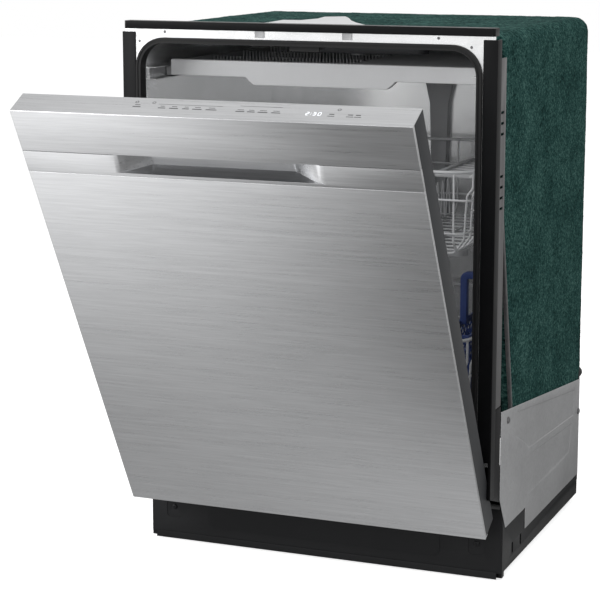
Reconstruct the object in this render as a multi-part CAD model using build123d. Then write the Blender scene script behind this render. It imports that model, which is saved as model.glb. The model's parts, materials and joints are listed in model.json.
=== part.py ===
"""A built-in dishwasher, 24 inch class, with its door ajar.

Millimetres. +X is the user's right, +Y runs from the front to the back and +Z is up.
The origin lies on the room floor, at mid width, under the front plane of the tub's flange.
The door is drawn closed and then swung open by its rest angle.
"""
import os

from build123d import *

# Overall sizes
unit_width = 608.0
unit_height = 860.0
cabinet_depth = 570.0
sheet = 1.5
seat_gap = 0.3
cabinet_inset = 2.0
cabinet_width = unit_width - 2 * cabinet_inset

# Tub
tub_side_room = 32.0
tub_back_room = 50.0
tub_top_room = 34.0
tub_floor = 207.0
tub_top_radius = 38.0
tub_low_bevel = 6.0
flange_inset = 4.0
flange_drop = 4.0
gasket_width = 8.5
gasket_depth = 14.0
dish_radius = 170.0
dish_depth = 10.0
sump_ring = 20.0
sump_hole_radius = 92.0
tub_width = unit_width - 2 * tub_side_room
tub_half = tub_width / 2
tub_depth = cabinet_depth - tub_back_room
tub_ceiling = unit_height - tub_top_room
tub_low = tub_floor - sheet
flange_width = unit_width - 2 * flange_inset
flange_low = tub_floor - flange_drop
sump_top = tub_floor - dish_depth - sheet
sump_centre_y = tub_depth / 2 + 20.0

# Trims round the front
top_trim_height = 12.0
top_trim_depth = 23.0
top_trim_proud = 5.0
top_trim_chamfer = 3.5
tab_places = (-72.0, 70.0)
tab_half = 7.5
tab_drop = 10.0
side_trim_width = 22.0
side_trim_depth = 19.6
side_trim_foot = 152.0
trim_thickness = 2.0
trim_step = 210.0
trim_outer = unit_width / 2
flange_top = unit_height - top_trim_height
side_trim_top = flange_top - 5.0

# Side posts and blanket
post_width = 32.4
post_foot = 287.0
post_drop = 45.0
post_fold = 12.0
post_slot_pitch = 16.0
strap_width = 6.0
strap_depth = 4.0
strap_tail = 13.0
blanket_drop = 9.0
blanket_foot = 215.0
blanket_thickness = 22.0
blanket_corner = 24.0
blanket_taper_low = 275.0
blanket_taper_rise = 305.0
blanket_taper = 66.0
post_top = unit_height - post_drop
post_front = side_trim_depth
blanket_top = unit_height - blanket_drop
blanket_taper_top = blanket_taper_low + blanket_taper_rise
blanket_front = post_front + post_width + seat_gap
blanket_half = cabinet_width / 2 - 0.5

# Base, legs and toe kick
base_front = 77.0
base_back_room = 24.0
base_floor = 12.0
base_wall_height = 36.0
base_wall = 2.5
base_rib_height = 12.0
base_back = cabinet_depth - base_back_room
base_half = cabinet_width / 2
base_level = base_floor + base_wall
post_height = 126.0
corner_post_depth = 12.0
corner_post_width = 5.0
corner_foot = 4.0
side_slot_places = (57.6, 104.3)
leg_inset_x = 32.0
leg_inset_y = 34.0
leg_stud_radius = 6.0
leg_boss_radius = 12.0
leg_boss_height = 26.0
leg_foot_radius = 18.0
leg_foot_height = 8.0
leg_fit = 0.1
kick_top = 115.0
kick_step = 11.5
kick_foot = 2.0
kick_lip_inset = 8.0
kick_slot_inset = 41.0
kick_slot_width = 27.0
kick_slot_low = 38.0
kick_slot_high = 78.0
kick_screw_height = 56.0
kick_emboss_half = 200.0
kick_emboss_low = 28.0
kick_emboss_high = 96.0
kick_emboss_depth = 1.2
kick_slot_x = base_half - kick_slot_inset
kick_back = base_front
kick_front = base_front - sheet

# Side panels
panel_sheet = 1.0
panel_front_y = 55.0
panel_shoulder_y = 141.0
panel_front_top = tub_floor + 69.0
panel_shoulder_top = tub_floor + 60.0
panel_back_top = tub_floor + 13.0
panel_notch_top = 83.0
panel_notch_back = 203.0
panel_press = 0.6
panel_press_slope = 1.8
panel_foot = base_floor + base_wall_height

# Door
door_inset = 6.0
door_thickness = 44.0
door_gap = 5.0
door_foot = 92.7
door_top_room = 13.3
hinge_inset = 15.0
hinge_drop = 22.0
door_rest_angle = 28.6
skin = 1.2
seam = 0.6
skin_fold = 6.0
foot_fold = 12.0
control_height = 68.0
handle_height = 35.6
pocket_half = 149.0
pocket_ramp = 41.0
pocket_depth = 25.0
pocket_rise = 5.0
pocket_hood = 14.0
pocket_outer_bend = 45.0
pocket_inner_bend = 12.0
liner_low_inset = 15.0
liner_rise = 47.0
plateau_inset = 36.0
plateau_depth = 4.5
seal_height = 14.0
door_half = unit_width / 2 - door_inset
door_back = -door_gap
door_front = door_back - door_thickness
door_top = unit_height - door_top_room
hinge_y = door_back - hinge_inset
hinge_height = tub_floor - hinge_drop
handle_top = door_top - control_height
handle_low = handle_top - handle_height
cap_inner = door_half - sheet
liner_low_half = door_half - liner_low_inset
liner_step = hinge_height + liner_rise
plateau_half = door_half - plateau_inset
plateau_low = liner_step + 8.0
plateau_high = door_top - 46.7

# Hinges and springs
hinge_pin_radius = 5.0
hinge_fit = 0.05
hinge_plate = 3.0
hinge_arm_reach = 130.0
hinge_arm_width = 22.0
hinge_ear_gap = 2.5
bracket_rise = 78.0
spring_inset = 22.0
spring_height = 68.0
spring_radius = 9.0
spring_length = 190.0
spring_wire = 3.0
bracket_top = tub_floor + bracket_rise
arm_outer = cap_inner
arm_inner = arm_outer - hinge_plate
ear_outer = arm_inner - hinge_ear_gap
ear_inner = ear_outer - hinge_plate

# Dispenser and latch
dispenser_x = 40.0
dispenser_width = 150.0
dispenser_low = 470.0
dispenser_height = 110.0
dispenser_depth = 30.0
dispenser_proud = 3.0
cup_width = 74.0
cup_height = 62.0
cup_depth = 24.0
lid_thickness = 3.0
lid_margin = 4.0
rinse_cap_radius = 17.0
rinse_cap_inset = 30.0
latch_width = 24.0
latch_drop = 15.0
latch_pin_radius = 2.5
latch_height = tub_ceiling - latch_drop

# Spray arms
arm_hub_radius = 33.0
arm_tip_radius = 16.0
arm_thickness = 12.0
arm_end_room = 10.0
arm_y = tub_depth / 2 - 25.0
lower_arm_reach = arm_y - arm_end_room
upper_arm_reach = lower_arm_reach - 35.0
top_arm_reach = lower_arm_reach - 105.0
lower_arm_base = tub_floor + 5.3
top_arm_top = tub_ceiling - 11.0
hub_radius = 12.0
spindle_radius = 8.0
spindle_fit = 0.1

# Racks
wire = 4.0
wire_gap = 0.1
tine_wire = 3.0
wire_bend = 8.0
ring_corner = 14.0
row_inset = 30.0
upper_wire_count = 9
lower_wire_count = 10
upper_row_count = 8
lower_row_count = 9
rail_height = 20.0
rail_depth = 13.0
rail_thickness = 1.5
rail_front = 22.0
rail_back = tub_depth - 20.0
third_half = tub_half - 19.0
third_front = 64.0
third_back = tub_depth - 28.0
third_low = tub_ceiling - 54.0
third_top = tub_ceiling - 29.0
third_rail_height = tub_ceiling - 49.0
third_bar = 8.0
third_grip_half = 118.0
third_grip_drop = 12.0
third_front_thickness = 14.0
third_slat_low = 2.0
third_slat_top = 10.0
third_comb_count = 17
third_slat_count = 12
third_slat_width = 10.0
third_slat_skew = 14.0
upper_half = tub_half - 20.0
upper_front = 48.0
upper_back = tub_depth - 34.0
upper_share = 0.49273
upper_floor = tub_floor + upper_share * (tub_ceiling - tub_floor)
upper_top = upper_floor + 128.0
upper_rail_height = upper_top - 42.0
upper_arm_top = upper_floor - 18.0
upper_arm_base = upper_arm_top - arm_thickness
lower_half = tub_half - 20.0
lower_front = 32.0
lower_back = tub_depth - 22.0
lower_floor = tub_floor + 29.0
lower_top = upper_arm_base - 99.0
wheel_radius = 17.0
wheel_width = 8.0
wheel_inset = 58.0
hanger_thickness = 3.0
stub_radius = 4.0
shelf_thickness = 6.0
shelf_reach = 66.0
shelf_front = 92.0
shelf_length = 210.0
shelf_height = upper_top - 10.0
tine_height_upper = 62.0
tine_height_lower = 78.0
fold_tine_length = 74.0
shelf_rod_radius = 2.0

# Silverware basket
basket_width = 53.0
basket_right = lower_half - 19.0
basket_left = basket_right - basket_width
basket_front = 112.0
basket_back = 340.0
basket_handle_top = upper_arm_base - 24.0
basket_top = lower_top - 11.0
basket_wall = 2.5
basket_rim = 6.0
basket_handle_width = 11.0
basket_handle_depth = 13.0
basket_handle_y = (basket_front + basket_back) / 2

# Filter, sump and pumps
filter_y = sump_centre_y + 20.0
filter_radius = 35.0
filter_rim_radius = 41.0
filter_depth = 55.5
conduit_x = 50.0
conduit_width = 50.0
conduit_neck = 26.0
conduit_depth = 14.0
conduit_mouth_drop = 91.0
conduit_neck_drop = 241.0
sump_depth = 79.5
sump_wall = 3.0
sump_cup_radius = 86.0
wash_port_radius = 15.0
drain_port_radius = 11.0
pump_radius = 44.0
pump_length = 120.0
pump_x = -150.0
drain_pump_x = 150.0
drain_pump_radius = 30.0
drain_pipe_radius = 9.0
outlet_radius = 10.5
outlet_wall = 1.5
outlet_length = 19.0
outlet_bore_radius = 8.0
outlet_x = trim_outer - 18.0
outlet_height = tub_floor + 16.0
outlet_reach = cabinet_depth + 18.0
outlet_entry = 60.0
valve_x = -236.0
valve_height = 70.0
inlet_thread_radius = 13.2
inlet_thread_length = 18.0
box_x = 216.0
box_width = 52.0
box_height = 78.0
box_length = 80.0
knockout_radius = 11.1
knockout_height = 74.0
float_x = -205.0
float_y = 92.0
float_radius = 16.0
float_stem_radius = 4.9
screw_radius = 4.5
sump_foot = sump_top - sump_depth
wash_port_height = sump_foot + 34.0
drain_port_height = sump_foot + 24.0
pump_height = sump_foot + 14.0


def block(x0, x1, y0, y1, z0, z1):
    """A box between its limits."""
    middle = Pos((x0 + x1) / 2, (y0 + y1) / 2, (z0 + z1) / 2)
    return middle * Box(x1 - x0, y1 - y0, z1 - z0)


def from_front(sketch, y0, y1):
    """A plate whose outline is drawn as seen from the front, between two depths."""
    return extrude(Plane.XZ.offset(-y0) * sketch, amount=-(y1 - y0))


def from_side(sketch, x0, x1):
    """A plate whose outline is drawn as seen from the right, between two widths."""
    return extrude(Plane.YZ.offset(x0) * sketch, amount=x1 - x0)


def from_above(sketch, z0, z1):
    """A plate whose outline is drawn as seen from above, between two heights."""
    return extrude(Plane.XY.offset(z0) * sketch, amount=z1 - z0)


def outline(*points):
    """A closed face through the points."""
    return make_face(Polyline(*points, close=True))


def window(half_width, low, high):
    """An upright rectangle centred on the middle line."""
    return Pos(0, (low + high) / 2) * Rectangle(2 * half_width, high - low)


def arch(half_width, low, high, top_radius, low_bevel):
    """The tub's section: wide round corners above, small bevelled ones below."""
    shape = window(half_width, low, high)
    shape = fillet(shape.vertices().group_by(Axis.Y)[-1], top_radius)
    return chamfer(shape.vertices().group_by(Axis.Y)[0], low_bevel)


def mirrored(shape):
    """The same piece on the left side."""
    return mirror(shape, about=Plane.YZ)


def pair(shape):
    """A piece and its mirror image, in one node."""
    return group([shape, mirrored(shape)])


def group(pieces):
    """Separate solids that share one node."""
    return Compound([solid for piece in pieces for solid in piece.solids()])


def upright(x, y, z0, z1, radius):
    """An upright round post."""
    return Pos(x, y, (z0 + z1) / 2) * Cylinder(radius, z1 - z0)


def crosswise(y, z, x0, x1, radius):
    """A round bar that lies along X."""
    return Pos((x0 + x1) / 2, y, z) * Rot(0, 90, 0) * Cylinder(radius, x1 - x0)


def lengthwise(x, z, y0, y1, radius):
    """A round bar that lies along Y."""
    return Pos(x, (y0 + y1) / 2, z) * Rot(90, 0, 0) * Cylinder(radius, y1 - y0)


def prism(x, y, z0, z1, radius, sides, turn=0):
    """An upright post with flat sides."""
    section = Pos(x, y) * RegularPolygon(radius, sides, rotation=turn)
    return from_above(section, z0, z1)


def sawn(shape, *planes):
    """The solids left when a bent sheet or wire is sawn along planes. They keep touching."""
    for plane in planes:
        shape = group([split(solid, bisect_by=plane, keep=Keep.BOTH) for solid in shape.solids()])
    return shape


def bent_wire(points, thickness):
    """A coated wire along straight runs, square in section."""
    path = Polyline(*points)
    section = Plane(origin=path @ 0, z_dir=path % 0) * RegularPolygon(thickness / 2, 4)
    return sweep(section, path=path, transition=Transition.RIGHT)


def ring_wire(half_width, front, back, z):
    """A closed flat loop of wire round a rack: two straight runs and two bent ends."""

    def loop(inset):
        length = back - front - 2 * inset
        shape = Pos(0, (front + back) / 2) * Rectangle(2 * (half_width - inset), length)
        return chamfer(shape.vertices(), ring_corner)

    ring = from_above(loop(0) - loop(wire), z - wire / 2, z + wire / 2)
    end = half_width - ring_corner
    return sawn(ring, *sides(end))


def spread(low, high, count):
    """Evenly spaced values from low to high, both ends included."""
    return [low + (high - low) * i / (count - 1) for i in range(count)]


# Tub and its seal
def mouth(inset):
    """The section of the seat that holds the gasket, grown inwards by inset."""
    grow = gasket_width - inset
    return arch(tub_half + grow, tub_floor, tub_ceiling + grow, tub_top_radius + grow, tub_low_bevel)


def make_tub():
    """The pressed steel tub with its flange, gasket seat and sump dish."""
    rim = 2 * seat_gap
    seat_grow = gasket_width + rim + sheet
    seat_outer = arch(
        tub_half + seat_grow,
        tub_low,
        tub_ceiling + seat_grow,
        tub_top_radius + seat_grow,
        tub_low_bevel + sheet,
    )
    sleeve_outer = arch(
        tub_half + sheet, tub_low, tub_ceiling + sheet, tub_top_radius + sheet, tub_low_bevel + sheet
    )
    inside = arch(tub_half, tub_floor, tub_ceiling, tub_top_radius, tub_low_bevel)
    flange = from_front(window(flange_width / 2, flange_low, flange_top), 0, sheet)
    seat = from_front(seat_outer, 0, gasket_depth + sheet)
    sleeve = from_front(sleeve_outer, gasket_depth, tub_depth + sheet)
    seat_hollow = from_front(mouth(-rim), -1, gasket_depth)
    tub = flange + seat + sleeve - seat_hollow - from_front(inside, -1, tub_depth)
    centre = Pos(0, sump_centre_y, 0)
    tub -= centre * Pos(0, 0, tub_floor) * Cylinder(dish_radius, 4 * sheet)
    tub += centre * make_dish()
    float_hole = upright(float_x, float_y, tub_low - 1, tub_floor + 1, float_stem_radius + spindle_fit)
    return group([panels(tub - float_hole), strike()])


def make_dish():
    """The shallow dish in the tub's floor, open in the middle for the sump."""
    ring_radius = sump_hole_radius + sump_ring
    section = outline(
        (dish_radius, tub_floor),
        (dish_radius, tub_low),
        (ring_radius, sump_top),
        (sump_hole_radius, sump_top),
        (sump_hole_radius, sump_top + sheet),
        (ring_radius, sump_top + sheet),
    )
    return revolve(Plane.XZ * section, Axis.Z)


def panels(tub):
    """The tub sawn into its front frame, walls, corners, ceiling, back and floor sectors."""
    frame_back = Plane.XZ.offset(-gasket_depth - sheet)
    back = Plane.XZ.offset(-tub_depth)
    foot = Plane.XY.offset(tub_floor + tub_low_bevel)
    shoulder = Plane.XY.offset(tub_ceiling - tub_top_radius)
    upper = split(tub, bisect_by=foot, keep=Keep.TOP)
    lower = split(tub, bisect_by=foot, keep=Keep.BOTTOM)
    walls = sawn(upper, frame_back, back, shoulder, *sides(tub_half - tub_top_radius))
    bevels = sides(tub_half - tub_low_bevel)
    return group([walls, sawn(lower, frame_back, back, *bevels, *spokes(sump_centre_y))])


def sides(x):
    """Two upright planes, as far to the left as to the right."""
    return [Plane.YZ.offset(-x), Plane.YZ.offset(x)]


def spokes(y):
    """Four upright planes that cross on the middle line."""
    return [Plane(origin=(0, y, 0), z_dir=Vector(1, 0, 0).rotate(Axis.Z, 45 * k)) for k in range(4)]


def strike():
    """The keeper welded under the tub's ceiling, whose front edge holds the raised latch hook."""
    low = latch_height + 7.6
    hook = low + 3.9
    roof = tub_ceiling - seat_gap / 2
    weld = gasket_depth + 1
    back = weld + 11.0
    profile = outline(
        (2.5, low),
        (5.3, low),
        (5.3, hook),
        (back, hook),
        (back, tub_ceiling),
        (weld, tub_ceiling),
        (weld, roof),
        (2.5, roof),
    )
    return from_side(profile, -latch_width, latch_width)


def make_gasket():
    """The door gasket runs up one side, over the top and down the other."""
    front = door_back + seat_gap
    ring = from_front(mouth(0), front, gasket_depth - seat_gap)
    inner = from_front(mouth(gasket_width - seat_gap), front - 1, gasket_depth)
    legs_only = block(-tub_half, tub_half, front - 1, gasket_depth, tub_floor - 1, tub_floor + 60)
    bulb = from_front(mouth(2.5) - mouth(gasket_width - 2.5), front - 1, front + 2.0)
    groove = from_front(mouth(3.0) - mouth(gasket_width - 3.0), front - 1, front + 1.2)
    foot = block(-unit_width, unit_width, front - 1, gasket_depth, tub_floor - 1, tub_floor + seat_gap)
    return ring - inner - legs_only - (groove & bulb) - foot


def make_blanket():
    """The felt wraps the tub's sides, top and back, and slants back at its front feet."""
    outer = block(-blanket_half, blanket_half, blanket_front, cabinet_depth, blanket_foot, blanket_top)
    edges = outer.edges().filter_by(Axis.Y).group_by(Axis.Z)[-1]
    edges += outer.edges().filter_by(Axis.Z).group_by(Axis.Y)[-1]
    edges += outer.edges().filter_by(Axis.X).group_by(Axis.Z)[-1].sort_by(Axis.Y)[-1:]
    outer = fillet(edges, blanket_corner)
    hollow_half = blanket_half - blanket_thickness
    hollow_top = tub_ceiling + sheet + seat_gap
    hollow = from_front(
        arch(hollow_half, blanket_foot - 1, hollow_top, tub_top_radius, tub_low_bevel),
        blanket_front - 1,
        cabinet_depth - blanket_thickness,
    )
    taper = outline(
        (blanket_front - 1, blanket_taper_top),
        (blanket_front + blanket_taper, blanket_taper_low),
        (blanket_front + blanket_taper, blanket_foot - 1),
        (blanket_front - 1, blanket_foot - 1),
    )
    pipe = outlet_radius + outlet_wall + 1.5
    notch = block(
        outlet_x - pipe,
        outlet_x + pipe,
        base_back,
        cabinet_depth + 1,
        blanket_foot - 1,
        outlet_height + pipe,
    )
    return outer - hollow - from_side(taper, -unit_width, unit_width) - notch


# Front trims and posts
def make_top_trim():
    """The black bar over the door opening, with two small tabs."""
    shape = Pos(0, top_trim_depth / 2 - top_trim_proud) * Rectangle(flange_width, top_trim_depth)
    shape = chamfer(shape.vertices().group_by(Axis.Y)[0], top_trim_chamfer)
    bar = from_above(shape, flange_top, unit_height)
    tabs = [
        block(x - tab_half, x + tab_half, -trim_thickness, 0, flange_top - tab_drop, flange_top)
        for x in tab_places
    ]
    return bar + tabs


def make_side_trim():
    """An L-shaped strip whose front leg narrows where the door's foot swings through."""
    outer = trim_outer
    clear = door_half + 1.0
    front = block(outer - side_trim_width, outer, -trim_thickness, 0, trim_step, side_trim_top)
    low = block(clear, outer, -trim_thickness, 0, side_trim_foot, trim_step)
    side = block(
        outer - trim_thickness + seat_gap, outer, 0, side_trim_depth, side_trim_foot, side_trim_top
    )
    return front + low + side


def make_side_post():
    """A folded steel post that stiffens the flange, with two rows of slots."""
    outer = cabinet_width / 2
    fold = outer - post_fold
    web = block(outer - sheet, outer, post_front, post_front + post_width, post_foot, post_top)
    front = block(fold, outer, post_front, post_front + sheet, post_foot, post_top)
    tie = block(fold, fold + sheet, sheet, post_front + sheet, post_foot, post_top)
    post = web + front + tie
    for drop, count in ((80.0, 3), (175.0, 4)):
        for k in range(count):
            z = post_top - drop - k * post_slot_pitch
            post -= block(outer - 2 * sheet, outer + 1, post_front + 8, post_front + 24, z - 2, z + 2)
    return group([post, make_felt_strap() - post])


def make_felt_strap():
    """The narrow strap that holds the blanket's slanted front edge, from the post to the cover."""
    outer = cabinet_width / 2
    top = blanket_front - 1 - seat_gap
    low = blanket_front + blanket_taper - seat_gap
    strap = outline(
        (top - strap_depth, blanket_taper_top),
        (top, blanket_taper_top),
        (low, blanket_taper_low),
        (low, blanket_taper_low - strap_tail),
        (low - strap_depth, blanket_taper_low - strap_tail),
        (low - strap_depth, blanket_taper_low),
    )
    return from_side(strap, outer - strap_width, outer)


# Base
def leg_places():
    """The four legs' centres, by name."""
    x = base_half - leg_inset_x
    front = base_front + leg_inset_y
    back = base_back - leg_inset_y
    return {
        "front_left": (-x, front),
        "front_right": (x, front),
        "rear_left": (-x, back),
        "rear_right": (x, back),
    }


def make_base():
    """The base pan: a shallow tray with ribs, leg bosses and slotted front corners."""
    top = base_floor + base_wall_height
    inner = base_half - base_wall
    tray = block(-base_half, base_half, base_front, base_back, base_floor, top)
    tray -= block(-inner, inner, base_front + base_wall, base_back - base_wall, base_level, top + 1)
    raised = block(inner, base_half, base_front, panel_notch_back - 2, top, panel_notch_top - 1)
    corner_back = base_front + corner_post_depth
    post = block(
        base_half - corner_post_width, base_half, base_front, corner_back, corner_foot, post_height
    )
    foot = block(base_half - 30, base_half, base_front, corner_back, corner_foot, base_floor)
    side = raised + post + foot
    for place in side_slot_places:
        y = base_front + place
        side -= block(inner - base_wall, base_half + 1, y - 4, y + 4, 28, 46)
        tray -= block(inner - base_wall, base_half + 1, y - 4, y + 4, 28, 46)
        tray -= block(-base_half - 1, -inner + base_wall, y - 4, y + 4, 28, 46)
    tray = tray + side + mirrored(side)
    for y in spread(base_front, base_back, 5)[1:-1]:
        tray += block(-inner, inner, y, y + base_wall, base_level, base_floor + base_rib_height)
    boss_top = base_floor + leg_boss_height
    for x, y in leg_places().values():
        tray += prism(x, y, base_floor, boss_top, leg_boss_radius, 8)
    for x, y in leg_places().values():
        tray -= upright(x, y, base_floor - 1, boss_top + 1, leg_stud_radius + leg_fit)
    walls = [Plane.XZ.offset(-base_front - base_wall), Plane.XZ.offset(base_wall - base_back)]
    return sawn(tray, Plane.XY.offset(base_level), *walls, *sides(inner))


def make_leg(x, y):
    """A threaded stud on a foot with flats for a spanner."""
    stud = upright(x, y, leg_foot_height, base_floor + leg_boss_height + 10, leg_stud_radius)
    pad = prism(x, y, 0, leg_foot_height / 2, leg_foot_radius, 12)
    nut = prism(x, y, leg_foot_height / 2, leg_foot_height, leg_stud_radius + 5, 6)
    return stud + pad + nut


def make_toe_kick():
    """A folded plate with a raised field and two open slots for its screws."""
    half = base_half - 0.5
    plate = from_front(window(half, kick_step, kick_top), kick_front, kick_back)
    lip = window(half - kick_lip_inset, kick_foot, kick_step + 2)
    lip = from_front(lip, kick_front - sheet, kick_front)
    slot = Pos(kick_slot_x, (kick_slot_low + kick_slot_high) / 2) * Rectangle(
        kick_slot_width, kick_slot_high - kick_slot_low
    )
    slot = chamfer(slot.vertices(), 4.0)
    field = window(kick_emboss_half, kick_emboss_low, kick_emboss_high)
    field = fillet(field.vertices(), 12.0)
    plate += from_front(field, kick_front - kick_emboss_depth, kick_front)
    recess = from_front(slot, kick_front - 1, kick_front + sheet / 2)
    hole = lengthwise(kick_slot_x, kick_screw_height, kick_front - 1, kick_back + 1, 2.6)
    kick = plate + lip
    return kick - recess - mirrored(recess) - hole - mirrored(hole)


def make_side_panel():
    """A galvanised cover for the base, with two fields pressed inwards."""
    inner = cabinet_width / 2
    outer = inner + panel_sheet
    body = outline(
        (panel_front_y, panel_front_top),
        (panel_shoulder_y, panel_shoulder_top),
        (base_back, panel_back_top),
        (base_back, panel_foot),
        (panel_notch_back, panel_foot),
        (panel_notch_back, panel_notch_top),
        (base_front + corner_post_depth, panel_notch_top),
        (panel_front_y, post_height + 12),
    )
    upper = outline(
        (panel_shoulder_y + 6, panel_shoulder_top - 13),
        (base_back - 36, panel_back_top - 13),
        (base_back - 42, panel_back_top - 55),
        (panel_notch_back + 15, panel_back_top - 40),
        (panel_notch_back - 11, panel_back_top - 25),
        (panel_shoulder_y - 2, panel_back_top - 2),
    )
    lower = outline(
        (panel_notch_back + 19, panel_back_top - 54),
        (base_back - 52, panel_back_top - 69),
        (base_back - 65, panel_notch_top + 22),
        (base_back - 133, panel_notch_top + 19),
        (panel_notch_back + 17, panel_notch_top + 20),
    )
    panel = from_side(body, inner, outer)
    for field in (upper, lower):
        wide = offset(field, panel_press_slope, kind=Kind.INTERSECTION)
        mouth_face = Plane.YZ.offset(outer + seat_gap / 10) * wide
        floor_face = Plane.YZ.offset(outer - panel_press) * field
        panel -= loft([mouth_face, floor_face], ruled=True)
    fold = block(
        inner - 14, inner, base_back - panel_sheet, base_back, panel_notch_top, panel_back_top - 15
    )
    return panel + fold


def panel_screw_places():
    """Depths and heights of each side panel's screws."""
    return (
        (panel_front_y + 36.6, panel_front_top - 21.1),
        (base_back - 8.0, panel_back_top - 56.3),
    )


def make_screws():
    """Screw heads of the toe kick and the side panels."""
    heads = []
    seat = kick_front + sheet / 2
    for x in (-kick_slot_x, kick_slot_x):
        head = Pos(x, kick_screw_height) * RegularPolygon(screw_radius, 12)
        heads.append(from_front(head, seat - 2.4, seat))
    outer = cabinet_width / 2 + panel_sheet
    for y, z in panel_screw_places():
        head = Pos(y, z) * RegularPolygon(screw_radius, 12)
        heads.append(pair(from_side(head, outer, outer + 1.0)))
    return group(heads)


def make_counter_bracket():
    """A folded bracket on top of the tub with two holes for the worktop's screws."""
    half = 78.0
    front = 34.0
    back = 62.0
    top = blanket_top + 2
    low = flange_top - 10
    plate = block(-half, half, front, back, blanket_top, top)
    riser = block(-half, half, front, front + 2, low, top)
    foot = block(-half, half, sheet, front + 2, low, low + 2)
    bracket = plate + riser + foot
    for x in (-60.0, 60.0):
        bracket -= upright(x, (front + back) / 2, blanket_top - 1, top + 1, 3.0)
    return bracket


# Hinges
def make_hinge_bracket():
    """A steel plate behind the flange with a forward ear that carries the hinge pin."""
    outer = cabinet_width / 2
    back = sheet
    cross = block(ear_inner, outer, back, back + 2, flange_low, bracket_top)
    side = outline(
        (back, bracket_top),
        (panel_front_y - 1, bracket_top),
        (panel_front_y - 1, post_height + 24),
        (base_front + corner_post_depth, post_height),
        (base_front, post_height),
        (back, side_trim_foot),
    )
    side_plate = from_side(side, outer - 2, outer)
    ear = outline(
        (hinge_y, hinge_height + 9),
        (back, hinge_height + 9),
        (back, bracket_top),
        (back + 12, bracket_top),
        (back + 12, hinge_height - 6),
        (hinge_y, hinge_height - 9),
    )
    ear_plate = from_side(ear, ear_inner, ear_outer)
    boss = crosswise(hinge_y, hinge_height, ear_inner, ear_outer, 9.0)
    pin = crosswise(hinge_y, hinge_height, ear_inner, arm_outer - seat_gap, hinge_pin_radius)
    return cross + side_plate + ear_plate + boss + pin


def make_hinge_arm():
    """A flat arm screwed inside the door's side cap, bored for the hinge pin."""
    half = hinge_arm_width / 2
    arm = outline(
        (hinge_y - half, hinge_height),
        (hinge_y - half, hinge_height + hinge_arm_reach),
        (hinge_y + half, hinge_height + hinge_arm_reach),
        (hinge_y + half, hinge_height),
    )
    plate = from_side(arm, arm_inner, arm_outer)
    plate += crosswise(hinge_y, hinge_height, arm_inner, arm_outer, half)
    bore = crosswise(hinge_y, hinge_height, arm_inner - 1, arm_outer + 1, hinge_pin_radius + hinge_fit)
    return plate - bore


def make_spring():
    """A close-wound counterbalance spring that lies along the base, with an eye at each end."""
    x = base_half - spring_inset
    z = spring_height
    front = base_front + 70.0
    back = front + spring_length
    coil = lengthwise(x, z, front, back, spring_radius)
    rear_hook = bent_wire(
        [(x, back - 1, z), (x, back + 16, z), (x, back + 22, z - 8), (x, back + 22, base_level)],
        spring_wire,
    )
    front_hook = bent_wire([(x, front + 1, z), (x, front - 14, z), (x, front - 20, z + 8)], spring_wire)
    return coil + rear_hook + front_hook


# Door, drawn closed
def make_door_panel():
    """The main front skin with short folded edges."""
    top = handle_low - seam
    face = from_front(window(door_half, door_foot, top), door_front, door_front + skin)
    edge = block(door_half - skin, door_half, door_front, door_front + skin_fold, door_foot, top)
    foot = block(-door_half, door_half, door_front, door_front + foot_fold, door_foot, door_foot + skin)
    return face + edge + mirrored(edge) + foot


def make_handle_strip():
    """The strip under the control panel, pressed inwards to a finger pocket with soft ramps.

    The pocket's floor is a shelf near the strip's foot. Its hood rises behind the control
    panel, whose lower edge the fingers hook.
    """
    top = handle_top - seam
    lip = handle_low + pocket_rise
    roof = top + pocket_hood
    strip_room = behind(door_front)
    cover_room = behind(door_front + skin + seam)
    room = strip_room - behind_pressing(skin)
    wall = behind_pressing(0) & room
    foot = from_front(window(door_half, handle_low, lip), door_front, door_front + skin)
    strip = foot + from_above(wall, lip, top) + from_above(room, lip - skin, lip)
    strip += from_above(wall & cover_room, top, roof) + from_above(room & cover_room, roof, roof + skin)
    edge = block(door_half - skin, door_half, door_front, door_front + skin_fold, handle_low, top)
    return strip + edge + mirrored(edge)


def behind(front):
    """The area behind a depth, up to the door's back, as seen from above."""
    return Pos(0, (front + door_back) / 2) * Rectangle(2 * door_half, door_back - front)


def behind_pressing(shift):
    """The area behind the strip's pressed front, moved back by shift, as seen from above."""
    front = door_front + shift
    deep = front + pocket_depth
    flat = pocket_half - pocket_ramp
    hollow = outline((-pocket_half, front), (-flat, deep), (flat, deep), (pocket_half, front))
    area = behind(front) - hollow
    inner = area.vertices().filter_by(lambda corner: abs(corner.Y - deep) < seam)
    area = fillet(inner, pocket_inner_bend)
    outer = area.vertices().filter_by(lambda corner: abs(abs(corner.X) - pocket_half) < seam)
    return fillet(outer, pocket_outer_bend)


def make_control_panel():
    """The cap of the door: front strip, touch surface on top and a rear lip."""
    x = door_half
    lip = door_top - 30
    profile = outline(
        (door_front, handle_top),
        (door_front, door_top),
        (door_back, door_top),
        (door_back, lip),
        (door_back - skin, lip),
        (door_back - skin, door_top - skin),
        (door_front + skin, door_top - skin),
        (door_front + skin, handle_top),
    )
    shell = from_side(profile, -x, x)
    front_top = shell.edges().filter_by(Axis.X).group_by(Axis.Z)[-1].sort_by(Axis.Y)[0]
    shell = fillet(front_top, 1.0)
    edge = block(x - skin, x, door_front, door_front + skin_fold, handle_top, door_top)
    trim = block(
        cap_inner - seam,
        x + 1,
        door_front + skin_fold,
        door_back + 1,
        handle_top - 1,
        door_top - skin,
    )
    slot_half = latch_width / 2 + 3
    slot = block(-slot_half, slot_half, door_back - 3, door_back + 1, lip - 1, door_top - 20)
    shell = shell - trim - mirrored(trim) - slot
    edge &= block(-x, x, door_front + 1, door_back, 0, door_top - 1)
    return shell + edge + mirrored(edge)


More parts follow.
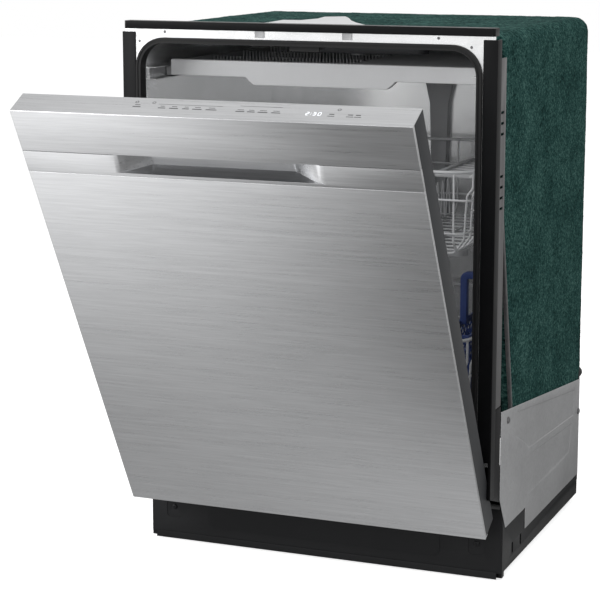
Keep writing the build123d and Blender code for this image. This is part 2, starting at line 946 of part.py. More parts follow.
def make_side_cap():
    """The dark side of the door."""
    low = door_foot + skin + seam
    front = door_front + skin_fold + seam
    return block(cap_inner, door_half, front, door_back, low, door_top - skin - seam)


def make_liner():
    """The inner steel liner: a raised field, stepped in above the hinges at each side."""
    y0 = door_back - skin
    corner = 30.0
    foot = door_foot + 3
    upper = window(cap_inner - seam, liner_step, door_top - 30 - seam)
    lower = window(liner_low_half, foot, liner_step)
    plate = from_front(upper + lower, y0, door_back)
    field = window(plateau_half, plateau_low, plateau_high)
    plate += from_front(fillet(field.vertices(), corner), door_back, door_back + plateau_depth)
    inside = window(plateau_half - skin, plateau_low + skin, plateau_high - skin)
    inside = fillet(inside.vertices(), corner - skin)
    plate -= from_front(inside, y0 - 1, door_back + plateau_depth - skin)
    inner = liner_low_half - skin
    wall = block(inner, liner_low_half, door_front + skin + seam, door_back, foot, liner_step)
    roof = block(
        inner,
        arm_inner - seam,
        door_front + skin_fold + seam,
        door_back,
        liner_step,
        liner_step + skin,
    )
    sill_front = door_front + foot_fold + seam
    sill = block(-liner_low_half, liner_low_half, sill_front, door_back, foot, foot + skin)
    side = wall + roof
    body = plate + side + mirrored(side) + sill
    hole = Pos(dispenser_x, dispenser_low + dispenser_height / 2) * Rectangle(
        dispenser_width + 2 * seam, dispenser_height + 2 * seam
    )
    latch_hole = window(latch_width / 2 + 3, door_top - 50, door_top - 20)
    body -= from_front(latch_hole, y0 - 1, door_back + 1)
    return body - from_front(hole, y0 - 1, door_back + plateau_depth + 1)


def make_door_pad():
    """The felt pad between skin and liner, open round the dispenser."""
    pad = block(
        -liner_low_half + 12,
        liner_low_half - 12,
        door_front + skin + seat_gap,
        door_back - skin - 6.0,
        liner_step + 8,
        handle_low - 12,
    )
    gap = 5.0
    return pad - block(
        dispenser_x - dispenser_width / 2 - gap,
        dispenser_x + dispenser_width / 2 + gap,
        door_back - dispenser_depth - gap,
        door_back,
        dispenser_low - gap,
        dispenser_low + dispenser_height + gap,
    )


def make_bottom_seal():
    """A lipped strip along the liner's foot that closes on the tub's sill."""
    half = tub_half - 4
    low = flange_low - 3
    profile = outline(
        (door_back, low),
        (door_back, low + seal_height),
        (door_back + 1.8, low + seal_height),
        (door_back + 1.8, low + 8),
        (-seat_gap, low + 5),
        (-seat_gap, low + 3),
        (door_back + 1.8, low),
    )
    return from_side(profile, -half, half)


def make_dispenser():
    """The detergent housing, with a cup on the left and the rinse-aid filler on the right."""
    x0 = dispenser_x - dispenser_width / 2
    x1 = dispenser_x + dispenser_width / 2
    z0 = dispenser_low
    z1 = dispenser_low + dispenser_height
    face = dispenser_face()
    body = block(x0, x1, door_back - dispenser_depth, face - dispenser_proud, z0, z1)
    rim = block(x0 - 4, x1 + 4, face - dispenser_proud, face, z0 - 4, z1 + 4)
    rim = chamfer(rim.faces().sort_by(Axis.Y)[-1].edges(), 1.5)
    filler = lengthwise(filler_x(), filler_z(), face - 12, face + 1, rinse_cap_radius - 5)
    return body + rim - cup_box() - filler


def dispenser_face():
    """The depth of the housing's face."""
    return door_back + plateau_depth + dispenser_proud


def cup_box():
    """The space inside the detergent cup."""
    face = dispenser_face()
    left = dispenser_x - dispenser_width / 2 + 10
    low = dispenser_low + 24
    return block(left, left + cup_width, face - cup_depth, face + 1, low, low + cup_height)


def filler_x():
    """The rinse-aid filler's distance from the middle line."""
    return dispenser_x + dispenser_width / 2 - rinse_cap_inset


def filler_z():
    """The rinse-aid filler's height."""
    return dispenser_low + 36


def make_dispenser_lid():
    """The sprung flap over the cup, with a round hinge barrel along its upper edge."""
    face = dispenser_face() + seat_gap
    front = face + lid_thickness
    left = dispenser_x - dispenser_width / 2 + 10 - lid_margin
    right = left + cup_width + 2 * lid_margin
    low = dispenser_low + 24 - lid_margin
    high = low + cup_height + 2 * lid_margin
    lid = block(left, right, face, front, low, high)
    lid = chamfer(lid.faces().sort_by(Axis.Y)[-1].edges(), 1.0)
    middle = (left + right) / 2
    tab = block(middle - 12, middle + 12, front, front + 2, low + 4, low + 8)
    barrel = crosswise(front, high, left + 2, right - 2, 2.0)
    return lid + tab + barrel


def make_rinse_cap():
    """A round cap with a finger bar, turned to open."""
    face = dispenser_face() + seat_gap
    x = filler_x()
    z = filler_z()
    cap = lengthwise(x, z, face, face + 3, rinse_cap_radius)
    plug = lengthwise(x, z, face - 9, face, rinse_cap_radius - 5.4)
    bar = block(x - 14, x + 14, face + 3, face + 6, z - 2.5, z + 2.5)
    return cap + plug + bar


def make_latch_case():
    """The latch's case behind the liner, open towards the tub."""
    half = latch_width / 2 + 2.4
    tall = 16.0
    back = door_back - skin - seat_gap
    case = block(-half, half, back - 26, back, latch_height - tall, latch_height + tall)
    case -= block(
        -half + 2, half - 2, back - 24, back + 1, latch_height - tall + 2, latch_height + tall - 2
    )
    return case + crosswise(back - 14, latch_height, -half, half, latch_pin_radius)


def make_latch_hook():
    """The sprung hook that catches the strike."""
    back = door_back - skin - seat_gap
    hook = outline(
        (back - 14, latch_height - 5),
        (back + 18, latch_height - 4),
        (back + 18, latch_height + 7),
        (back + 13, latch_height + 7),
        (back + 11, latch_height + 1),
        (back - 8, latch_height + 5),
        (back - 14, latch_height + 5),
    )
    plate = from_side(hook, -7, 7)
    plate += crosswise(back - 14, latch_height, -7, 7, 5.0)
    return plate - crosswise(back - 14, latch_height, -8, 8, latch_pin_radius + spindle_fit)


# Racks
def crosswise_wires(half, front, back, floor, top, count):
    """U-shaped wires from one side of a rack, under the floor, to the other side."""
    side = half - wire - wire_gap - wire / 2
    bend = side - wire_bend
    wires = []
    for y in spread(front + row_inset, back - row_inset, count):
        right = [(bend, y, floor), (side, y, floor + wire_bend), (side, y, top)]
        left = [(-x, y, z) for x, y, z in reversed(right)]
        run = bent_wire(left + right, wire)
        wires.append(sawn(run, *sides(bend - wire)))
    return wires


def row_places(half, count):
    """The lengthwise wires' distances from the middle line."""
    return spread(row_inset - half, half - row_inset, count)


def bed(floor):
    """The height on which a load rests: the top of a rack's lengthwise wires."""
    return floor + wire + wire_gap + wire / 2


def lengthwise_wires(half, front, back, floor, top, count):
    """U-shaped wires from the front of a rack, over the crosswise ones, to its back."""
    inset = wire + wire_gap + wire / 2
    y0 = front + inset
    y1 = back - inset
    level = floor + wire + wire_gap
    wires = []
    for x in row_places(half, count):
        points = [
            (x, y0, top),
            (x, y0, level + wire_bend),
            (x, y0 + wire_bend, level),
            (x, y1 - wire_bend, level),
            (x, y1, level + wire_bend),
            (x, y1, top),
        ]
        reach = wire_bend + wire
        wires.append(
            sawn(bent_wire(points, wire), Plane.XZ.offset(-y0 - reach), Plane.XZ.offset(reach - y1))
        )
    return wires


def tine(x, y, low, high):
    """One upright pin."""
    return bent_wire([(x, y, low), (x, y, high)], tine_wire)


def rack_runner(half, front, back, height):
    """The inner slide bar on the right side of a rack."""
    room = seat_gap + rail_thickness
    tall = rail_height / 2 - room
    return block(half, tub_half - room, front, back, height - tall, height + tall)


def make_rail(height):
    """The outer slide on the right wall of the tub, open towards the rack."""
    inner = tub_half - rail_depth
    tall = rail_height / 2
    half = tall - rail_thickness
    rail = block(inner, tub_half, rail_front, rail_back, height - tall, height + tall)
    return rail - block(
        inner - 1, tub_half - rail_thickness, rail_front - 1, rail_back - 4, height - half, height + half
    )


def make_third_rack_front():
    """The light front bar with its deeper middle grip."""
    back = third_front + third_front_thickness
    grip_low = third_low - third_grip_drop
    slope = 6.0
    right = [
        (third_half, third_top),
        (third_half, third_low),
        (third_grip_half + slope, third_low),
        (third_grip_half, grip_low + slope),
        (third_grip_half - 8, grip_low),
    ]
    left = [(-x, z) for x, z in reversed(right)]
    bar = from_front(outline(*right, *left), third_front, back)
    wall = 3.0
    inner = third_half - wall
    grip = third_grip_half - 10
    front = third_front + wall
    hollow = block(-inner, inner, front, back + 1, third_low + wall, third_top - wall)
    grip_hollow = block(-grip, grip, front, back + 1, grip_low + wall, third_low + wall + 1)
    return bar - hollow - grip_hollow


def make_third_rack():
    """A slatted tray on side bars: a comb of thin ribs on the left, skewed slats on the right."""
    front = third_front + third_front_thickness
    inner = third_half - third_bar
    high = third_top - 2
    low = third_low + third_slat_low
    top = third_low + third_slat_top
    beam_back = front + 5.0
    back_front = third_back - 6.0
    divider = 26.0
    runner = rack_runner(third_half, front, third_back - 8, third_rail_height)
    side = block(inner, third_half, front, third_back, third_low, high) + runner
    pieces = [
        side,
        mirrored(side),
        block(-inner, inner, back_front, third_back, third_low, high),
        block(-inner, inner, front, beam_back, third_low, top),
        block(divider, divider + 5, beam_back, back_front, third_low, top),
    ]
    for x in spread(10 - inner, divider - 16, third_comb_count):
        pieces.append(block(x - 1.5, x + 1.5, beam_back, back_front, low, top))
    for y in spread(beam_back + 12, back_front - 12 - third_slat_width - third_slat_skew, third_slat_count):
        slat = outline(
            (divider + 5, y),
            (inner, y + third_slat_skew),
            (inner, y + third_slat_skew + third_slat_width),
            (divider + 5, y + third_slat_width),
        )
        pieces.append(from_above(slat, top - 4, top - 1))
    return group(pieces)


def make_upper_rack():
    """The upper basket, with the rod that its cup shelf folds on."""
    rings = [
        ring_wire(upper_half, upper_front, upper_back, z)
        for z in (upper_top, upper_rail_height, upper_floor + 34)
    ]
    top = upper_top + wire / 2
    size = (upper_half, upper_front, upper_back, upper_floor, top)
    wires = crosswise_wires(*size, upper_wire_count) + lengthwise_wires(*size, upper_row_count)
    base = bed(upper_floor) + wire_gap
    tines = [
        tine(x, y, base, base + tine_height_upper)
        for x in row_places(upper_half, upper_row_count)[1:-1:2]
        for y in spread(upper_front + 60, upper_back - 60, 8)
    ]
    return group(rings + wires + tines + [make_shelf_rod()])


def shelf_axis_x():
    """The cup shelf's hinge line, just inside the rack's side wires."""
    return upper_half - 2 * wire - 3 - shelf_thickness / 2


def make_shelf_rod():
    """A rod between two brackets that reach in from the rack's rim."""
    x = shelf_axis_x()
    front = shelf_front - seat_gap
    back = shelf_front + shelf_length + seat_gap
    rod = lengthwise(x, shelf_height, front - 1, back + 1, shelf_rod_radius)
    for y0, y1 in ((front - 5, front), (back, back + 5)):
        rod += block(x - 3, upper_half - wire - wire_gap, y0, y1, shelf_height - 4, upper_top + wire / 2)
    return rod


def make_upper_runner():
    """The upper rack's inner slide bar."""
    return rack_runner(upper_half, upper_front + 16, upper_back - 8, upper_rail_height)


def make_lower_rack():
    """The lower basket with its fixed rows of tines."""
    rings = [
        ring_wire(lower_half, lower_front, lower_back, z)
        for z in (lower_top, (lower_top + lower_floor) / 2 + 16, lower_floor + 34)
    ]
    top = lower_top + wire / 2
    size = (lower_half, lower_front, lower_back, lower_floor, top)
    wires = crosswise_wires(*size, lower_wire_count) + lengthwise_wires(*size, lower_row_count)
    base = bed(lower_floor) + wire_gap
    fixed_rows = tine_rows()[1]
    tines = [
        tine(x, y, base, base + tine_height_lower)
        for x in fixed_rows
        for y in spread(lower_front + 60, lower_back - 60, 9)
    ]
    return group(rings + wires + tines)


def tine_rows():
    """The lower rack's folding row and its fixed rows: every other lengthwise wire has one."""
    first, folding, *others = row_places(lower_half, lower_row_count)[1:-1:2]
    return folding, [first] + others


def wheel_places():
    """Height and depths of the lower rack's axles."""
    return tub_floor + seat_gap + wheel_radius, lower_front + wheel_inset, lower_back - wheel_inset


def make_wheel_carrier():
    """The stub axles under the rack's lowest loop, each on a moulded hanger."""
    z, *depths = wheel_places()
    outer = lower_half + hanger_thickness
    pieces = []
    for y in depths:
        hanger = block(lower_half, outer, y - 12, y + 12, z - 5, lower_floor + 40)
        stub = RegularPolygon(stub_radius, 12)
        stub = from_side(Pos(y, z) * stub, outer, outer + wheel_width + 2 * seat_gap)
        pieces.append(pair(hanger + stub))
    return group(pieces)


def make_wheels(y):
    """The left and right wheels of one axle line."""
    z = wheel_places()[0]
    x0 = lower_half + hanger_thickness + seat_gap
    wheel = crosswise(y, z, x0, x0 + wheel_width, wheel_radius)
    return pair(wheel - crosswise(y, z, x0 - 1, x0 + wheel_width + 1, stub_radius + spindle_fit))


def make_cup_shelf():
    """The fold-up shelf inside the right side of the upper rack, bored for its rod."""
    outer = shelf_axis_x() + shelf_thickness / 2
    inner = outer - shelf_reach
    middle = Pos((outer + inner) / 2, shelf_front + shelf_length / 2)
    plan = middle * Rectangle(shelf_reach, shelf_length)
    plan = fillet(plan.vertices().group_by(Axis.X)[0], 16.0)
    low = shelf_height - shelf_thickness / 2
    shelf = from_above(plan, low, low + shelf_thickness)
    tray = middle * Rectangle(shelf_reach - 16, shelf_length - 10)
    tray = fillet(tray.vertices().group_by(Axis.X)[0], 11.0)
    shelf -= from_above(tray, low + 2.5, low + shelf_thickness + 1)
    for y in spread(shelf_front + 26, shelf_front + shelf_length - 26, 7):
        shelf += block(inner + 5, outer - 8, y - 1, y + 1, low + 2, low + 4.5)
    bore = lengthwise(
        shelf_axis_x(),
        shelf_height,
        shelf_front - 1,
        shelf_front + shelf_length + 1,
        shelf_rod_radius + hinge_fit,
    )
    return shelf - bore


def make_folding_tines():
    """A row of tines on one round rod, which folds down for large pots."""
    x = tine_rows()[0]
    z = bed(lower_floor) + seat_gap + wire / 2
    y0 = lower_front + 40
    y1 = lower_back - 40
    pieces = [lengthwise(x, z, y0, y1, wire / 2)]
    for y in spread(y0 + 20, y1 - 20, 9):
        pieces.append(tine(x, y, z + wire / 2 + wire_gap, z + fold_tine_length))
    return group(pieces)


def make_basket():
    """The silverware basket: an open cage of slotted walls."""
    x0, x1, y0, y1 = basket_left, basket_right, basket_front, basket_back
    low = bed(lower_floor) + seat_gap
    w = basket_wall
    cage = block(x0, x1, y0, y1, low, basket_top)
    cage -= block(x0 + w, x1 - w, y0 + w, y1 - w, low + w, basket_top + 1)
    rise = (basket_top - low - 2 * w) / 3
    for level in range(3):
        z = low + w + rise * (level + 0.5)
        for y in spread(y0 + 28, y1 - 28, 5):
            cage -= block(x0 - 1, x1 + 1, y - 17, y + 17, z - rise / 2 + 4, z + rise / 2 - 2)
        middle = (x0 + x1) / 2
        cage -= block(middle - 20, middle + 20, y0 - 1, y1 + 1, z - rise / 2 + 4, z + rise / 2 - 2)
    for y in spread(y0, y1, 4)[1:-1]:
        cage += block(x0 + w, x1 - w, y - 1, y + 1, low + w, basket_top - 12)
    return cage


def make_basket_handle():
    """The arched carrying handle, clipped over the basket's upper edge."""
    x0, x1 = basket_left + 3, basket_right - 3
    w = basket_handle_width
    y = basket_handle_y
    depth = basket_handle_depth
    low = basket_top - 20
    middle = Pos((x0 + x1) / 2, (low + basket_handle_top) / 2)
    shape = middle * Rectangle(x1 - x0, basket_handle_top - low)
    shape = fillet(shape.vertices().group_by(Axis.Y)[-1], 12.0)
    hole = middle * Pos(0, -w) * Rectangle(x1 - x0 - 2 * w, basket_handle_top - low)
    hole = fillet(hole.vertices().group_by(Axis.Y)[-1], 4.0)
    band = from_front(shape - hole, y - depth / 2, y + depth / 2)
    rim_top = basket_top + basket_rim
    rim = block(basket_left, basket_right, basket_front, basket_back, basket_top, rim_top)
    rim -= block(
        basket_left + 5, basket_right - 5, basket_front + 5, basket_back - 5, basket_top - 1, rim_top + 1
    )
    clear = block(basket_left, basket_right, y - depth, y + depth, low - 1, basket_top)
    return rim + (band - clear)


# Spray arms
def make_arm(reach, z0, z1, y):
    """A flat spray arm, wide at the hub and rounded at both tips, with shallow jets."""
    tip = reach - arm_tip_radius
    shape = outline(
        (0, arm_hub_radius),
        (tip, arm_tip_radius),
        (tip, -arm_tip_radius),
        (0, -arm_hub_radius),
        (-tip, -arm_tip_radius),
        (-tip, arm_tip_radius),
    )
    shape += Circle(arm_hub_radius)
    for x in (-tip, tip):
        shape += Pos(x, 0) * Circle(arm_tip_radius)
    arm = Pos(0, y, 0) * from_above(shape, z0, z1)
    for x in spread(-tip, tip, 6):
        arm -= Pos(x, y, z1) * extrude(RegularPolygon(3.0, 6), amount=-2.0)
    return arm - upright(0, y, z0 - 1, z1 + 1, spindle_radius + spindle_fit)


def make_lower_hub():
    """The fixed spindle that stands on the filter plate and carries the lower arm."""
    top = lower_arm_base + arm_thickness + seat_gap
    foot = sump_top + sheet
    hub = prism(0, arm_y, foot, lower_arm_base - seat_gap, hub_radius, 12)
    hub += upright(0, arm_y, foot, top + 3, spindle_radius)
    return hub + prism(0, arm_y, top, top + 3, hub_radius, 12)


def make_upper_feed():
    """The flat pipe under the upper rack and the spindle that carries its arm."""
    low = upper_arm_top + seat_gap
    high = upper_floor - wire / 2 - wire_gap
    back = tub_depth - conduit_depth - 2 * seat_gap
    foot = upper_arm_base - seat_gap
    plan = outline((-11, arm_y), (11, arm_y), (conduit_x + 9, back), (conduit_x - 13, back))
    pipe = from_above(plan, low, high) + prism(0, arm_y, low, high, 16.0, 12)
    pipe += upright(0, arm_y, foot - 3, low, spindle_radius)
    return pipe + prism(0, arm_y, foot - 3, foot, hub_radius, 12)


def make_conduit():
    """The water pipe up the tub's back wall, and the duct along its ceiling to the top spindle."""
    half = conduit_width / 2
    neck = conduit_neck / 2
    face = tub_depth - conduit_depth
    mouth_low = tub_ceiling - conduit_mouth_drop
    right = [
        (neck, tub_floor + 3),
        (neck, tub_ceiling - conduit_neck_drop),
        (half - 8, mouth_low - 35),
        (half, mouth_low),
        (half, tub_ceiling),
    ]
    left = [(-x, z) for x, z in reversed(right)]
    riser = from_front(Pos(conduit_x, 0) * outline(*right, *left), face, tub_depth)
    plan = outline((conduit_x - half, face), (conduit_x + half, face), (12, arm_y), (-12, arm_y))
    low = top_arm_top + seat_gap
    foot = top_arm_top - arm_thickness - seat_gap
    duct = from_above(plan, low, tub_ceiling) + prism(0, arm_y, low, tub_ceiling, 16.0, 12)
    duct += upright(0, arm_y, foot - 3, low, spindle_radius)
    duct += prism(0, arm_y, foot - 3, foot, hub_radius, 12)
    return group([riser, duct])


# Sump, filter and pumps
def make_sump():
    """The eight-sided sump cup under the tub's dish, with its flange and two pump ports."""
    centre = (0, sump_centre_y)
    inner = sump_cup_radius - sump_wall
    rim = sump_top - 4.0
    flat = (Pos(*centre) * RegularPolygon(sump_cup_radius, 8, rotation=22.5)).bounding_box().max.X
    cup = prism(*centre, sump_foot, rim, sump_cup_radius, 8, 22.5)
    flange = prism(*centre, rim, sump_top, sump_hole_radius + sump_ring - 2, 24)
    wash_port = crosswise(
        sump_centre_y, wash_port_height, pump_x + pump_length / 2, -flat, wash_port_radius
    )
    drain_port = crosswise(
        sump_centre_y, drain_port_height, flat, drain_pump_x - 30, drain_port_radius
    )
    inside = prism(*centre, sump_foot + sump_wall, sump_top + 1, inner, 8, 22.5)
    return cup + flange - inside + wash_port + drain_port


def make_filter_plate():
    """The flat coarse filter round the fine one, in eight sectors."""
    plate = prism(0, sump_centre_y, sump_top, sump_top + sheet, sump_hole_radius - seat_gap, 24)
    plate -= prism(0, filter_y, sump_top - 1, sump_top + 4, filter_radius + 1.5, 16)
    return sawn(plate, *spokes(filter_y))


def make_filter():
    """The fine filter: a slotted cup under a round rim, with a finger bar to turn it by."""
    rim = sump_top + sheet + seat_gap
    foot = rim - filter_depth - seat_gap
    inner = filter_radius - 3
    floor = prism(0, filter_y, foot, foot + 3, filter_radius, 16)
    wall = prism(0, filter_y, foot + 3, rim, filter_radius, 16)
    wall -= prism(0, filter_y, foot, rim + 1, inner, 16)
    for turn in range(4):
        pane = block(-9, 9, inner - 5, filter_radius + 2, foot + 8, rim - 10)
        wall -= Pos(0, filter_y, 0) * Rot(0, 0, 22.5 + 90 * turn) * pane
    ring = upright(0, filter_y, rim, rim + 3, filter_rim_radius)
    ring -= prism(0, filter_y, rim - 1, rim + 4, inner, 16)
    bar = block(-inner * 0.97, inner * 0.97, filter_y - 3, filter_y + 3, rim - 6, rim + 7)
    bar &= prism(0, filter_y, rim - 6, rim + 7, inner, 16)
    return group([floor, sawn(wall, *spokes(filter_y)), sawn(ring, *spokes(filter_y)), bar])


def make_float():
    """The overflow float: a light twelve-sided dome on a stem through the tub's floor."""
    low = tub_floor + 4
    high = tub_floor + 18
    dome = prism(float_x, float_y, low, high, float_radius, 12)
    dome = chamfer(dome.faces().sort_by(Axis.Z)[-1].edges(), 4.0)
    stem = upright(float_x, float_y, tub_low - 10, low + 1, float_stem_radius)
    foot = prism(float_x, float_y, tub_low - 12, tub_low - 9.5, 7.0, 8)
    return dome + stem + foot


def make_circulation_pump():
    """The wash pump: volute against the sump's port, motor and mounting foot."""
    y = sump_centre_y
    z = pump_height
    x1 = pump_x + pump_length / 2
    x0 = x1 - pump_length
    volute_x = x1 - 34
    motor = crosswise(y, z, x0, volute_x, pump_radius)
    volute = crosswise(y, z, volute_x, x1 - seat_gap, pump_radius + 12)
    foot = block(x0 + 12, volute_x - 12, y - 30, y + 30, base_level, z - pump_radius + 6)
    return motor + volute + foot


def make_drain_pump():
    """The drain pump on its cradle."""
    z = drain_port_height
    y = sump_centre_y
    x0 = drain_pump_x - 30 + seat_gap
    volute = crosswise(y, z, x0, x0 + 22, drain_pump_radius)
    motor = crosswise(y, z, x0 + 22, x0 + 78, drain_pump_radius - 8)
    cradle = block(x0 + 26, x0 + 66, y - 16, y + 16, base_level, z - 18)
    return volute + motor + cradle


def make_drain_pipe():
    """A rigid pipe from the drain pump's volute round to the outlet at the back."""
    x0 = drain_pump_x - 30 + seat_gap + 11
    turn_y = base_back - 76
    path = Polyline(
        (x0, sump_centre_y + drain_pump_radius + seat_gap, drain_port_height),
        (x0, turn_y, drain_port_height),
        (outlet_x, turn_y, drain_port_height),
        (outlet_x, turn_y, outlet_entry),
        (outlet_x, base_back - seat_gap, outlet_entry),
    )
    section = Plane(origin=path @ 0, z_dir=path % 0) * Circle(drain_pipe_radius)
    return sweep(section, path=path, transition=Transition.RIGHT)


def make_outlet():
    """The black outlet at the right rear: a bevelled riser, a collar and a round spigot."""
    half = outlet_radius + outlet_wall
    front = base_back + seat_gap
    collar = outlet_reach - outlet_length
    riser = block(
        outlet_x - half,
        outlet_x + half,
        front,
        collar - seat_gap,
        base_floor + 20,
        outlet_height + half,
    )
    upper = riser.faces().sort_by(Axis.Z)[-1].edges()
    riser = chamfer(riser.edges().filter_by(Axis.Z) + upper.filter_by(Axis.X), 4.0)
    neck = lengthwise(outlet_x, outlet_height, front + half, collar, half - seat_gap)
    spigot = lengthwise(outlet_x, outlet_height, front + half, outlet_reach, outlet_radius)
    bore = lengthwise(outlet_x, outlet_height, collar, outlet_reach + 1, outlet_bore_radius)
    return riser + neck + spigot - bore


def make_inlet_valve():
    """The water inlet valve at the left front of the base, with its threaded tail to the rear."""
    half = 18.0
    front = base_front + 63.0
    back = front + 46.0
    top = valve_height + half
    body = block(valve_x - half, valve_x + half, front, back, base_level, top)
    coil = upright(valve_x, (front + back) / 2, top, top + 26, 15.0)
    tail = lengthwise(valve_x, valve_height, back, back + inlet_thread_length, inlet_thread_radius)
    return body + coil + tail


def make_junction_box():
    """The steel terminal box at the right front of the base, knocked out at its rear."""
    front = base_front + 23.0
    back = front + box_length
    x0 = box_x - box_width / 2
    x1 = box_x + box_width / 2
    top = base_level + box_height
    wall = sheet
    box = block(x0, x1, front, back, base_level, top)
    box -= block(x0 + wall, x1 - wall, front + wall, back - wall, base_level + wall, top - wall)
    return box - lengthwise(box_x, knockout_height, back - 2, back + 1, knockout_radius)


def door_pieces():
    """The door's nodes, drawn closed."""
    return {
        "door_panel": make_door_panel(),
        "handle_strip": make_handle_strip(),
        "control_panel": make_control_panel(),
        "door_side_caps": pair(make_side_cap()),
        "door_liner": make_liner(),
        "door_pad": make_door_pad(),
        "door_bottom_seal": make_bottom_seal(),
        "hinge_arms": pair(make_hinge_arm()),
        "detergent_dispenser": make_dispenser(),
        "dispenser_lid": make_dispenser_lid(),
        "rinse_aid_cap": make_rinse_cap(),
        "latch_case": make_latch_case(),
        "latch_hook": make_latch_hook(),
    }


def cabinet_pieces():
    """The nodes of the fixed cabinet, its legs, filters and lower and top arms."""
    rails = [make_rail(upper_rail_height), make_rail(third_rail_height)]
    lower_arm_top = lower_arm_base + arm_thickness
    top_arm_base = top_arm_top - arm_thickness
    pieces = {
        "tub": make_tub(),
        "door_gasket": make_gasket(),
        "insulation_blanket": make_blanket(),
        "top_trim": make_top_trim(),
        "side_trims": pair(make_side_trim()),
        "side_posts": pair(make_side_post()),
        "base_pan": make_base(),
        "toe_kick": make_toe_kick(),
        "cabinet_screws": make_screws(),
        "counter_bracket": make_counter_bracket(),
        "hinge_brackets": pair(make_hinge_bracket()),
        "door_springs": pair(make_spring()),
        "rack_rails": group([pair(rail) for rail in rails]),
        "lower_spray_hub": make_lower_hub(),
        "lower_spray_arm": make_arm(lower_arm_reach, lower_arm_base, lower_arm_top, arm_y),
        "top_spray_arm": make_arm(top_arm_reach, top_arm_base, top_arm_top, arm_y),
        "water_conduit": make_conduit(),
        "sump": make_sump(),
        "filter_plate": make_filter_plate(),
        "fine_filter": make_filter(),
        "overflow_float": make_float(),
        "circulation_pump": make_circulation_pump(),
        "drain_pump": make_drain_pump(),
        "drain_pipe": make_drain_pipe(),
        "drain_outlet": make_outlet(),
        "inlet_valve": make_inlet_valve(),
        "junction_box": make_junction_box(),
    }
    side_panel = make_side_panel()
    pieces["side_panel_right"] = side_panel
    pieces["side_panel_left"] = mirrored(side_panel)
    for name, (x, y) in leg_places().items():
        pieces["leg_" + name] = make_leg(x, y)
    return pieces


def rack_pieces():
    """The nodes of the three racks and what they carry."""
    front_axle, rear_axle = wheel_places()[1:]
    return {
        "third_rack_front": make_third_rack_front(),
        "third_rack_tray": make_third_rack(),
        "upper_rack_basket": make_upper_rack(),
        "upper_rack_runners": pair(make_upper_runner()),
        "cup_shelf": make_cup_shelf(),
        "upper_feed_pipe": make_upper_feed(),
        "upper_spray_arm": make_arm(upper_arm_reach, upper_arm_base, upper_arm_top, arm_y),
        "lower_rack_basket": make_lower_rack(),
        "wheel_hangers": make_wheel_carrier(),
        "front_wheels": make_wheels(front_axle),
        "rear_wheels": make_wheels(rear_axle),
        "folding_tines": make_folding_tines(),
        "silverware_basket": make_basket(),
        "basket_handle": make_basket_handle(),
    }


os.makedirs("parts", exist_ok=True)
hinge_axis = Axis((0, hinge_y, hinge_height), (1, 0, 0))
nodes = cabinet_pieces() | rack_pieces()
for name, piece in door_pieces().items():
    nodes[name] = piece.rotate(hinge_axis, door_rest_angle)
for name, piece in nodes.items():
    export_step(piece, f"parts/{name}.step")
print(len(nodes), "nodes")
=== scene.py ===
# %% [markdown]
# # A dishwasher with its door ajar
# The object is a built-in kitchen machine: a steel tub wrapped in green felt, a black
# base, three racks on rails, and a tall brushed steel door that leans out by 28.6 degrees.
# The measured parts arrive as a frame that is already in place. This lesson gives each of
# them its surface, and remakes the ones whose look needs round wire, felt or soft edges.

# %% Load the frame
import json
import math

import bmesh
import bpy
from mathutils import Matrix, Vector, noise

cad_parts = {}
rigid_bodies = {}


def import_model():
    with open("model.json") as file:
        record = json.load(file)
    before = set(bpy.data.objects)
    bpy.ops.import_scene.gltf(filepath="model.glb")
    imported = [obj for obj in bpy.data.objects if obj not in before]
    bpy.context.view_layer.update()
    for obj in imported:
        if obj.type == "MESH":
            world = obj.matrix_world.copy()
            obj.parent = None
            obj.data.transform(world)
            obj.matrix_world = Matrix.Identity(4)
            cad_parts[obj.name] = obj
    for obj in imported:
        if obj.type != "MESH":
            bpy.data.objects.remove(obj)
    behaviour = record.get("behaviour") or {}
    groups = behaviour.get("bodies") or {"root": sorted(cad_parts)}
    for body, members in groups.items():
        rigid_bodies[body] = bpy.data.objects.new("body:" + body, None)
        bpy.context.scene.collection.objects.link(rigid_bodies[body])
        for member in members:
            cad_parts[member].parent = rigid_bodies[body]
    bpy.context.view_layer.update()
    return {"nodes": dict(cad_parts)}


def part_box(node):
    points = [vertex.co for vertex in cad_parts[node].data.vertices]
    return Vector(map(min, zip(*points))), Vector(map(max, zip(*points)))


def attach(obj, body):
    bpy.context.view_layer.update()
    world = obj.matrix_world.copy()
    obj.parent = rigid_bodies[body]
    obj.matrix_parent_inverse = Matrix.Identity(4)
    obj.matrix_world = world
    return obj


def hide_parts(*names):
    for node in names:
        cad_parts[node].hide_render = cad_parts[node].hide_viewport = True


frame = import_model()

# %% [markdown]
# ## The view
# The picture was taken from the front right, a little above the worktop's height, with a
# long lens. A camera far away keeps the cabinet's edges nearly parallel, and a small shift
# down frames the object without tilting the view further.

# %% Place the camera
sensor_width = 36.0
focal_pixels, picture_pixels = 1957.0, 600
tilt_down, turn_left = 10.22, 22.1
scene_objects = bpy.context.scene.collection.objects
camera_data = bpy.data.cameras.new("view_camera")
camera = bpy.data.objects.new("view_camera", camera_data)
scene_objects.link(camera)
camera_data.sensor_width = sensor_width
camera_data.lens = focal_pixels / picture_pixels * sensor_width
camera_data.shift_y = -0.05
camera_data.clip_start = 0.05
camera_data.clip_end = 100.0
camera.location = (1.1076, -2.7422, 1.0181)
camera.rotation_euler = (math.radians(90 - tilt_down), 0, math.radians(turn_left))
bpy.context.scene.camera = camera
print("lens:", round(camera_data.lens, 1), "mm")

# %% [markdown]
# ## Shader sums as plain expressions
# A surface is a sum of patterns. Wrapping a socket in a small class lets Python's own
# operators add the Math nodes, so a recipe reads like a formula.

# %% A socket that can be added, multiplied and divided


